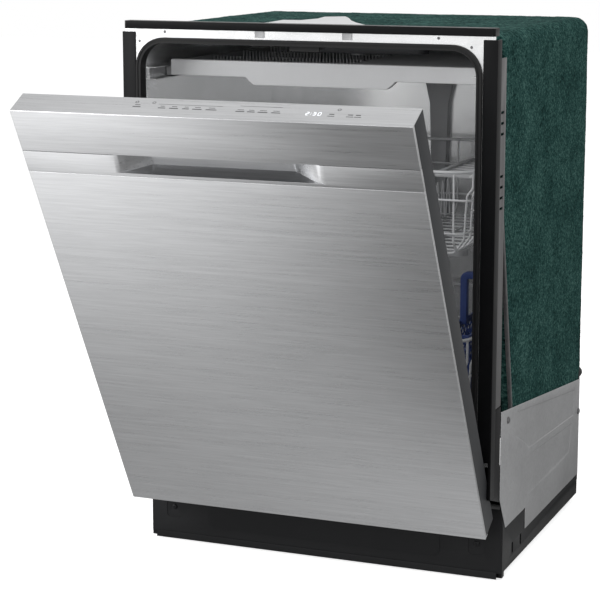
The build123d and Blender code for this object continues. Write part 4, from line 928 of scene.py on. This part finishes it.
# %% A tree that scatters short threads over a surface
loose_threads = Tree(
    "loose_threads",
    "Threads",
    dict(Surface="Geometry", Density="Float", Length="Float", Seed="Int", Thread="Material"),
    dict(
        scatter="DistributePointsOnFaces",
        arc="CurveQuadraticBezier",
        circle="CurvePrimitiveCircle",
        sweep="CurveToMesh",
        instance="InstanceOnPoints",
        spin="FunctionNodeRandomValue",
        upright="ShaderNodeCombineXYZ",
        turn="RotateInstances",
        stretch="FunctionNodeRandomValue",
        size="ShaderNodeMath",
        realize="RealizeInstances",
        coat="SetMaterial",
    ),
)
loose_threads.set("arc", {"Resolution": 3, "Start": (-0.5, 0.0, -0.02)})
loose_threads.set("arc", {"Middle": (0.0, 0.16, 0.1), "End": (0.5, -0.05, -0.02)})
loose_threads.set("circle", {"Resolution": 3, "Radius": 0.016})
for random_value, limits in (("spin", {3: 6.283}), ("stretch", {2: 0.5, 3: 1.4})):
    loose_threads.nodes[random_value].data_type = "FLOAT"
    loose_threads.set(random_value, limits)
loose_threads.nodes["size"].operation = "MULTIPLY"
loose_threads.link("""
    start.Surface > scatter.Mesh
    start.Density > scatter.Density
    start.Seed > scatter.Seed
    arc.Curve > sweep.Curve
    circle.Curve > sweep.Profile Curve
    scatter.Points > instance.Points
    sweep.Mesh > instance.Instance
    scatter.Rotation > instance.Rotation
    start.Seed > spin.Seed
    spin.1 > upright.Z
    instance.Instances > turn.Instances
    upright.Vector > turn.Rotation
    stretch.1 > size.0
    start.Length > size.1
    size.0 > instance.Scale
    turn.Instances > realize.Geometry
    realize.Geometry > coat.Geometry
    start.Thread > coat.Material
    coat.Geometry > end.Threads
""")
print("thread tree inputs:", sorted(loose_threads.keys))

# %% Scatter the threads


def outer_faces(piece, node):
    """A copy of the faces that look outwards."""
    bm = bmesh.new()
    bm.from_mesh(piece.data)
    low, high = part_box(node)
    centre, shell = (low + high) / 2, 0.006
    inner = []
    for face in bm.faces:
        place = face.calc_center_median()
        outside = (place - centre).dot(face.normal) > 0
        deep = all(low[i] + shell < place[i] < high[i] - shell for i in range(3))
        if not outside or deep:
            inner.append(face)
    bmesh.ops.delete(bm, geom=inner, context="FACES")
    return into_mesh(bm, "outer_faces")


ground = outer_faces(blanket, "insulation_blanket")
for name, density, length, seed, material in (
    ("pale_threads", 5200.0, 0.0055, 3, thread_pale),
    ("dark_threads", 3400.0, 0.0065, 8, thread_dark),
):
    settings = {"Density": density, "Length": length, "Seed": seed, "Thread": material}
    lint = loose_threads.grow(name, ground.copy(), material, **settings)
    settle(lint, "cabinet", "green_felt")
    print(name, len(lint.data.polygons), "faces")

# %% [markdown]
# ## Sheet steel of the cabinet
# The tub keeps its measured shape. Panels, posts and brackets get a small radius along every
# edge, because that thin bright line is what tells the eye that it looks at folded sheet.
# The latch's keeper under the tub's ceiling belongs to the tub, and black rubber on it is painted
# shade.

# %% Cabinet sheet


def repaint(piece, material, chosen):
    """Gives the faces that are chosen a second material."""
    piece.data.materials.append(material)
    for face in piece.data.polygons:
        if chosen(face):
            face.material_index = 1


def on_shaded_keeper(face):
    x, y, z = face.center
    return abs(x) < 0.05 and -0.003 < y < 0.06 and 0.802 < z < 0.8258


paint("tub", steel_tub)
# Black rubber on the keeper's faces is painted shade under the tub's ceiling.
repaint(frame["nodes"]["tub"], rubber, on_shaded_keeper)
rounded("right_cover", "side_panel_right", "cabinet", "zinc_steel", steel_zinc, 0.4, 2, 10)
rounded("left_cover", "side_panel_left", "cabinet", "zinc_steel", steel_zinc, 0.4, 2, 10)
rounded("slotted_posts", "side_posts", "cabinet", "zinc_steel", steel_post, 0.4)
rounded("hinge_ears", "hinge_brackets", "cabinet", "black_steel", black_plastic, 0.4)
rounded("worktop_bracket", "counter_bracket", "cabinet", "zinc_steel", white_plastic, 0.5)
rounded("slide_rails", "rack_rails", "cabinet", "tub_steel", steel_flange, 0.3)
rounded("terminal_box", "junction_box", "cabinet", "zinc_steel", steel_zinc, 0.6)
print("cabinet sheet is dressed")

# %% [markdown]
# ## Black mouldings of the cabinet
# Trims, base and toe kick are black plastic. The two clips that hang down from the top trim
# are bare zinc.

# %% Trims and base
top_strip = rounded("top_strip", "top_trim", "cabinet", "black_plastic", black_plastic, 0.8, 3)
clip_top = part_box("top_trim")[0].z + 0.0095
repaint(top_strip, steel_zinc, lambda face: face.center.z < clip_top)
rounded("side_strips", "side_trims", "cabinet", "black_plastic", black_plastic, 0.6, 3)
rounded("base_tray", "base_pan", "cabinet", "black_plastic", base_plastic, 0.8)
rounded("kick_plate", "toe_kick", "cabinet", "black_plastic", base_plastic, 0.6, 3)
rounded("waste_spigot", "drain_outlet", "cabinet", "black_plastic", black_plastic, 0.6)
paint("door_gasket", rubber)
print("black mouldings are dressed")

# %% [markdown]
# ## Foil patch and flange dimples
# A torn patch of white foil lies on the blanket's top, behind the black trim. The tub's flange
# carries four small dimples near its upper corners, drawn as dark discs of painted shade. Both
# are thin plates cut from an outline.

# %% Foil patch and dimples


def plate(name, outline, lift, thickness, material):
    """An outline in millimetres, made a thin plate along the given lift."""
    bm = bmesh.new()
    base = bm.faces.new([bm.verts.new(mm(*point)) for point in outline])
    for item in bmesh.ops.extrude_face_region(bm, geom=[base])["geom"]:
        if isinstance(item, bmesh.types.BMVert):
            item.co += Vector(lift) * thickness / 1000
    bmesh.ops.recalc_face_normals(bm, faces=bm.faces)
    return from_bmesh(name, bm, material)


foil_height = 852.0
foil_plan = (
    (-150, 34), (60, 34), (43, 150), (8, 205), (-22, 262), (-56, 340), (-79, 385), (-108, 362),
    (-96, 300), (-104, 245), (-134, 240), (-126, 160),
)
foil_points = [(x, y, foil_height) for x, y in foil_plan]
foil = plate("foil_patch", foil_points, (0, 0, 1), 0.5, white_plastic)
settle(foil, "cabinet", "white_plastic")
# Dark discs stand for the dimples' hollows: painted shade.
dimple_shade_plates = []
for x, z in ((-275.2, 828.6), (-231.5, 843.8), (213.0, 843.8), (263.5, 831.5)):
    rim = [(x + across, -0.05, z + up) for across, up in round_points(2.2, 12)]
    dimple_shade_plates.append(plate("dimple", rim, (0, -1, 0), 0.1, steel_post))
dimples = joined("flange_dimples", dimple_shade_plates)
settle(dimples, "cabinet", "zinc_steel")
print("foil outline:", len(foil_plan), "points, dimples:", len(dimple_shade_plates))

# %% [markdown]
# ## Screws
# Every visible screw is the same pan head with a cross recess. One head is modelled, and
# a tree sets it on each seat, turned to face along that seat's normal.

# %% One screw head


def screw_head():
    """Rings from the rim to the top, and then down into the cross."""
    sides = 24
    profile = ((4.4, 0.0), (4.4, 0.6), (3.9, 1.5), (2.9, 2.05), (1.6, 2.25))
    bm = bmesh.new()
    rows = []
    for radius, height in profile:
        rows.append([bm.verts.new(mm(x, y, height)) for x, y in round_points(radius, sides)])
    cross = []
    for k, (x, y) in enumerate(round_points(1.0, sides)):
        arm, height = (0.55, 1.1) if k % 6 in (2, 3, 4) else (1.5, 2.1)
        cross.append(bm.verts.new(mm(arm * x, arm * y, height)))
    skin(bm, [*rows, cross])
    return bm


head = from_bmesh("screw_head", screw_head(), steel_flange)
print("screw head:", len(head.data.polygons), "faces")

# %% Set the head on its seats
set_screws = Tree(
    "set_screws",
    "Screws",
    dict(Seats="Geometry", Size="Float", Steel="Material"),
    dict(
        seats="MeshToPoints",
        normal="InputNormal",
        align="FunctionNodeAlignEulerToVector",
        info="ObjectInfo",
        instance="InstanceOnPoints",
        capture="CaptureAttribute",
        realize="RealizeInstances",
        coat="SetMaterial",
    ),
)
set_screws.nodes["seats"].mode = "FACES"
set_screws.nodes["align"].axis = "Z"
set_screws.nodes["capture"].domain = "FACE"
set_screws.nodes["capture"].capture_items.new("VECTOR", "facing")
set_screws.set("info", {"Object": head})
set_screws.link("""
    start.Seats > capture.Geometry
    normal.Normal > capture.facing
    capture.Geometry > seats.Mesh
    capture.facing > align.Vector
    seats.Points > instance.Points
    align.Rotation > instance.Rotation
    info.Geometry > instance.Instance
    start.Size > instance.Scale
    instance.Instances > realize.Geometry
    realize.Geometry > coat.Geometry
    start.Steel > coat.Material
    coat.Geometry > end.Screws
""")


def screws(name, seats, size, material):
    """Screw heads on (place in millimetres, facing) pairs."""
    bm = bmesh.new()
    for place, facing in seats:
        facing = Vector(facing)
        side = facing.orthogonal().normalized() * 0.0005
        other = facing.cross(side).normalized() * 0.0005
        centre = mm(*place)
        bm.faces.new([bm.verts.new(centre + s) for s in (side, other, -side, -other)])
    settings = {"Size": size, "Steel": material}
    piece = set_screws.grow(name, into_mesh(bm, name), material, **settings)
    shade(piece.data, 40)
    return piece


side_seats = []
for side in (-1, 1):
    for y, z in ((91.6, 254.9), (538.0, 163.7)):
        side_seats.append(((side * 303.0, y, z), (side, 0, 0)))
kick_seats = [((x, 76.25, 56), (0, -1, 0)) for x in (-261, 261)]
side_heads = screws("side_heads", side_seats, 1.25, steel_post)
kick_heads = screws("kick_heads", kick_seats, 1.0, base_plastic)
cabinet_heads = joined("cabinet_heads", [side_heads, kick_heads])
settle(cabinet_heads, "cabinet", "spring_steel", "cabinet_screws")
bpy.data.objects.remove(head)
print("cabinet screws:", len(side_seats) + len(kick_seats))

# %% [markdown]
# ## The door
# The door's outside is three steel pieces: the tall front, the strip with the pressed finger
# pocket, and the cap that carries the touch marks. Each gets a fine radius so that its edges
# catch the light. The pocket's floor gets a darker steel as painted shade, and the sides are
# painted dark grey.

# %% Door skins
door_swing = math.radians(28.6)
hinge_line = mm(0, -20, 185)
cap_top, cap_front = 846.7, -49.0


def gets_pocket_shade(face):
    """True on the pocket's floor, which gets the painted shade, found where a shut door would have
    it.
    """
    back = Matrix.Rotation(-door_swing, 4, "X")
    shut = back @ (face.center - hinge_line) + hinge_line
    behind = shut.y > cap_front / 1000 + 0.0012
    return (back @ face.normal).z > 0.7 and behind and abs(shut.x) < 0.16 and shut.z < 0.76


rounded("front_sheet", "door_panel", "door", "door_steel", steel_door, 0.7, 3)
pocket_strip = rounded("pocket_strip", "handle_strip", "door", "door_steel", steel_door, 0.9, 3)
# The pocket's floor gets the darker steel as painted shade.
repaint(pocket_strip, steel_pocket_shade, gets_pocket_shade)
rounded("touch_cap", "control_panel", "door", "door_steel", steel_door, 1.2, 3)
rounded("door_cheeks", "door_side_caps", "door", "door_side", side_paint, 0.4)
print("door skins are dressed")

# %% Inner parts of the door
rounded("inner_sheet", "door_liner", "door", "tub_steel", steel_tub, 0.5)
rounded("sill_seal", "door_bottom_seal", "door", "gasket_rubber", rubber, 0.4)
rounded("hinge_blades", "hinge_arms", "door", "zinc_steel", steel_zinc, 0.4)
rounded("dose_housing", "detergent_dispenser", "door", "grey_plastic", pale_plastic, 0.8, 3)
rounded("dose_flap", "dispenser_lid", "lid_body", "dark_plastic", dark_plastic, 0.6, 3)
rounded("rinse_cap", "rinse_aid_cap", "rinse_cap_body", "dark_plastic", dark_plastic, 0.6)
rounded("latch_box", "latch_case", "door", "black_plastic", black_plastic, 0.6)
rounded("latch_claw", "latch_hook", "latch_hook_body", "spring_steel", steel_flange, 0.4)
print("inner door pieces are dressed")

# %% [markdown]
# ## Touch marks
# The cap's upper face carries small printed marks in groups and a lit clock. Only plain
# dashes, dots and digits are drawn. They are thin plates, a tenth of a millimetre high, made
# for a shut door and then swung with it.

# %% Marks on the cap


def dash(bm, x, depth, width, height):
    """A flat mark centred x from the middle and depth from the front edge."""
    low = mm(x - width / 2, cap_front + depth - height / 2, cap_top - 0.02)
    high = mm(x + width / 2, cap_front + depth + height / 2, cap_top + 0.08)
    add_box(bm, low, high)


def marks():
    """Rows of labels with a finer line under each, two rules, and three rings of dots."""
    bm = bmesh.new()
    dash(bm, -108.6, 22, 12, 1.6)
    dash(bm, -108.6, 26.5, 8, 1.2)
    for x, width in ((-70, 11), (-52, 13), (-34, 10), (-17, 14), (4, 16)):
        dash(bm, x, 21, width, 1.7)
        dash(bm, x, 25.2, width * 0.6, 1.0)
    dash(bm, -30, 30, 96, 0.5)
    for x, width in ((47, 13), (63, 11), (80, 14), (99, 13)):
        dash(bm, x, 20, width, 1.7)
        dash(bm, x, 24, width * 0.7, 1.0)
    dash(bm, 74, 33, 62, 0.5)
    for x in (178.6, 205, 216):
        dash(bm, x, 22, 7, 1.7)
        dash(bm, x, 17.5, 10, 1.1)
    for x in (-86, -112, 186):
        for across, up in round_points(2.2, 10):
            dash(bm, x + across, 33 + up, 1.0, 1.0)
    return bm


def door_piece(name, bm, material, slot):
    """A piece drawn for a shut door, turned to where the open door carries it."""
    piece = from_bmesh(name, bm, material)
    swing = Matrix.Rotation(door_swing, 4, "X")
    place = Matrix.Translation(hinge_line) @ swing @ Matrix.Translation(-hinge_line)
    piece.data.transform(place)
    return settle(piece, "door", slot)


cap_marks = door_piece("cap_marks", marks(), ink, "black_plastic")
print("marks:", len(cap_marks.data.polygons) // 6, "plates")

# %% Digits of the clock


def digits():
    """Three plain seven-bar numerals and a colon."""
    middle = 21.5
    bars = {
        "top": (0, 3.4, 3.2, 0.8),
        "mid": (0, 0, 3.2, 0.8),
        "low": (0, -3.4, 3.2, 0.8),
        "top_left": (-1.9, 1.7, 0.8, 2.6),
        "top_right": (1.9, 1.7, 0.8, 2.6),
        "low_left": (-1.9, -1.7, 0.8, 2.6),
        "low_right": (1.9, -1.7, 0.8, 2.6),
    }
    shown = {
        144.0: ("top", "top_right", "mid", "low_left", "low"),
        154.0: ("top", "top_right", "mid", "low_right", "low"),
        161.5: ("top", "top_left", "top_right", "low_left", "low_right", "low"),
    }
    bm = bmesh.new()
    for x, names in shown.items():
        for bar in names:
            across, up, width, height = bars[bar]
            dash(bm, x + across, middle + up, width, height)
    for up in (-1.6, 1.6):
        dash(bm, 149.0, middle + up, 0.9, 0.9)
    return bm


cap_digits = door_piece("cap_digits", digits(), digit_glow.material, "white_plastic")
print("digits:", len(cap_digits.data.polygons) // 6, "plates")

# %% [markdown]
# ## Water parts
# Spray arms, conduit and pumps are mouldings. They hide behind the door, but show from above
# and behind, so they get rounded edges and their own plastics too.

# %% Arms, pipes and moving parts of the racks
rounded("lower_arm", "lower_spray_arm", "lower_arm_body", "grey_plastic", pale_plastic, 2.2, 3)
rounded("upper_arm", "upper_spray_arm", "upper_arm_body", "grey_plastic", pale_plastic, 2.2, 3)
# The top arm gets the dark grey plastic as painted shade under the tub's ceiling.
rounded("top_arm", "top_spray_arm", "top_arm_body", "grey_plastic", dark_plastic, 2.2, 3)
rounded("arm_spindle", "lower_spray_hub", "cabinet", "grey_plastic", pale_plastic, 0.8)
rounded("rising_pipe", "water_conduit", "cabinet", "grey_plastic", pale_plastic, 1.8, 3)
rounded("feed_pipe", "upper_feed_pipe", "upper_rack", "grey_plastic", pale_plastic, 1.2)
rounded("rack_runners", "upper_rack_runners", "upper_rack", "tub_steel", steel_flange, 0.6)
rounded("glass_shelf", "cup_shelf", "cup_shelf_body", "grey_plastic", pale_plastic, 0.7)
rounded("wheel_arms", "wheel_hangers", "lower_rack", "grey_plastic", pale_plastic, 0.6)
for end in ("front", "rear"):
    wheels = end + "_wheels"
    rounded(end + "_rollers", wheels, wheels + "_body", "grey_plastic", pale_plastic, 0.8)
print("arms and pipes are dressed")

# %% Sump, pumps and feet
rounded("sump_bowl", "sump", "cabinet", "dark_plastic", dark_plastic, 0.8)
rounded("wash_pump", "circulation_pump", "cabinet", "dark_plastic", dark_plastic, 1.8, 3)
rounded("waste_pump", "drain_pump", "cabinet", "dark_plastic", dark_plastic, 1.2)
rounded("waste_pipe", "drain_pipe", "cabinet", "grey_plastic", pale_plastic, 0.5)
rounded("water_valve", "inlet_valve", "cabinet", "white_plastic", white_plastic, 1.2)
rounded("scrap_cup", "fine_filter", "fine_filter_body", "dark_plastic", dark_plastic, 0.5)
rounded("float_dome", "overflow_float", "float_body", "white_plastic", white_plastic, 0.6)
rounded("filter_sheet", "filter_plate", "cabinet", "filter_steel", steel_flange, 0.3)
for place in ("front_left", "front_right", "rear_left", "rear_right"):
    leg = "leg_" + place
    rounded("foot_" + place, leg, leg + "_body", "zinc_steel", steel_zinc, 0.5)
print("water parts are dressed")

# %% [markdown]
# ## Door springs
# Two tension springs along the base balance the door. A spring is a helix, and the wire tree
# makes one when it is given closely spaced points.

# %% Springs


def spring_run(side):
    """The front hook, the coils, and the rear hook."""
    x, z, radius = 280.0 * side, 68.0, 7.4
    start, length, coils, steps = 147.0, 190.0, 46, 12
    end = start + length
    points = [(x, start - 14, z + 4), (x, start - 4, z)]
    for k in range(coils * steps + 1):
        turn = 2 * math.pi * k / steps
        y = start + length * k / (coils * steps)
        points.append((x + radius * math.cos(turn), y, z + radius * math.sin(turn)))
    return points + [(x, end + 6, z), (x, end + 20, z - 8), (x, end + 21, 16)], False


spring_runs = [spring_run(-1), spring_run(1)]
springs = wires("balance_springs", spring_runs, 1.45, 0.6, steel_flange, 6, 1)
settle(springs, "cabinet", "spring_steel", "door_springs")
print("springs:", len(springs.data.polygons), "faces")

# %% [markdown]
# ## Floor and light
# A pale floor carries the shadow. Rays that go straight to the lens see it as white, like
# the paper sweep of a studio, without adding any light to the object. The leaning door
# mirrors the floor in front of it. So rays from polished steel see a floor that is bright on
# the left and falls off to the right, which gives the door its gradient.

# %% Floor
floor_half, floor_z = 12.0, -0.0004
floor_mesh = bmesh.new()
for x, y in ((-1, -1), (1, -1), (1, 1), (-1, 1)):
    floor_mesh.verts.new((x * floor_half, y * floor_half, floor_z))
floor_mesh.faces.new(floor_mesh.verts)
paper = Finish("floor_paper", roughness=0.9, specular_ior_level=0.1, emission_strength=0.72)
seen = paper.node("LightPath", out="Is Camera Ray")
glossy = paper.node("LightPath", out="Is Glossy Ray")
through = paper.node("LightPath", out="Is Transmission Ray")
floor_tones = ((0.0, 0.05), (0.3, 0.30), (0.9, 0.84))
floor_greys = [(place, (grey, grey, grey)) for place, grey in floor_tones]
paper.colour(0.25 * (1.0 - glossy) + 0.65 * seen + 0.1 * paper.cloud(2.0), *floor_greys)
where = paper.node("TexCoord", out="Object")
across, deep = paper.axis(where, "X"), paper.axis(where, "Y")
forward = paper.fade(deep, -0.11, -0.78, 0.0, 1.0)
beside = paper.fade(across, 0.5, 1.1, 0.0, 0.8)
near = paper.fade(deep, 0.1, 0.7, 1.0, 0.3)
tilt = 3.9 * forward - 1.6 * forward * forward - 0.2
slope = 0.6 - 0.4 * forward - across * tilt
held = paper.node("Clamp", {"Value": slope, "Min": 0.15, "Max": 1.9})
paper.set("Emission Color", seen + through + glossy * (near * (held + beside)))
floor_piece = from_bmesh("floor", floor_mesh, paper.material)
print("floor is laid")

# %% [markdown]
# ## World and lamps
# The world is white for the lens. For the object it is dimmer, and polished steel sees it
# fade to the right and overhead. Broad lamps from the left, the right, above and in front
# stay soft.

# %% World
world = bpy.data.worlds.new("studio")
bpy.context.scene.world = world
world.use_nodes = True
sky = Recipe(world.node_tree)
background = sky.tree.nodes["Background"]
background.inputs["Color"].default_value = (1, 1, 1, 1)
heading = sky.node("TexCoord", out="Generated")
sideways = sky.fade(sky.axis(heading, "X"), -0.7, 0.5, 1.0, 0.45)
overhead = sky.fade(sky.axis(heading, "Z"), 0.3, 0.85, 1.0, 0.0)
straight = sky.node("LightPath", out="Is Camera Ray")
straight = straight + sky.node("LightPath", out="Is Transmission Ray")
mirrored = sky.node("LightPath", out="Is Glossy Ray") * (sideways * overhead)
strength = sky.fade(straight + mirrored, 0.0, 1.0, 0.40, 1.0)
plug(sky.tree, background.inputs["Strength"], strength)
bpy.context.scene.view_settings.view_transform = "Standard"
print("world:", world.name)

# %% Lamps


def lamp(name, place, aim, size, watts):
    """A soft rectangular lamp turned towards a point."""
    data = bpy.data.lights.new(name, "AREA")
    data.shape = "RECTANGLE"
    data.size, data.size_y = size
    data.energy = watts
    holder = put(name, data)
    holder.location = place
    holder.rotation_euler = (Vector(aim) - Vector(place)).to_track_quat("-Z", "Y").to_euler()


lamp("left_window", (-2.6, -2.4, 1.9), (0, 0, 0.5), (2.2, 2.6), 95)
lamp("right_fill", (3.2, -0.8, 1.8), (0, 0.2, 0.5), (1.8, 2.4), 26)
lamp("overhead", (0.1, 0.0, 3.0), (0, 0.1, 0.5), (5.0, 5.0), 32)
lamp("front_soft", (0.9, -4.2, 1.06), (0, 0.2, 0.76), (2.6, 0.9), 22)
print("floor, world and lamps are set")
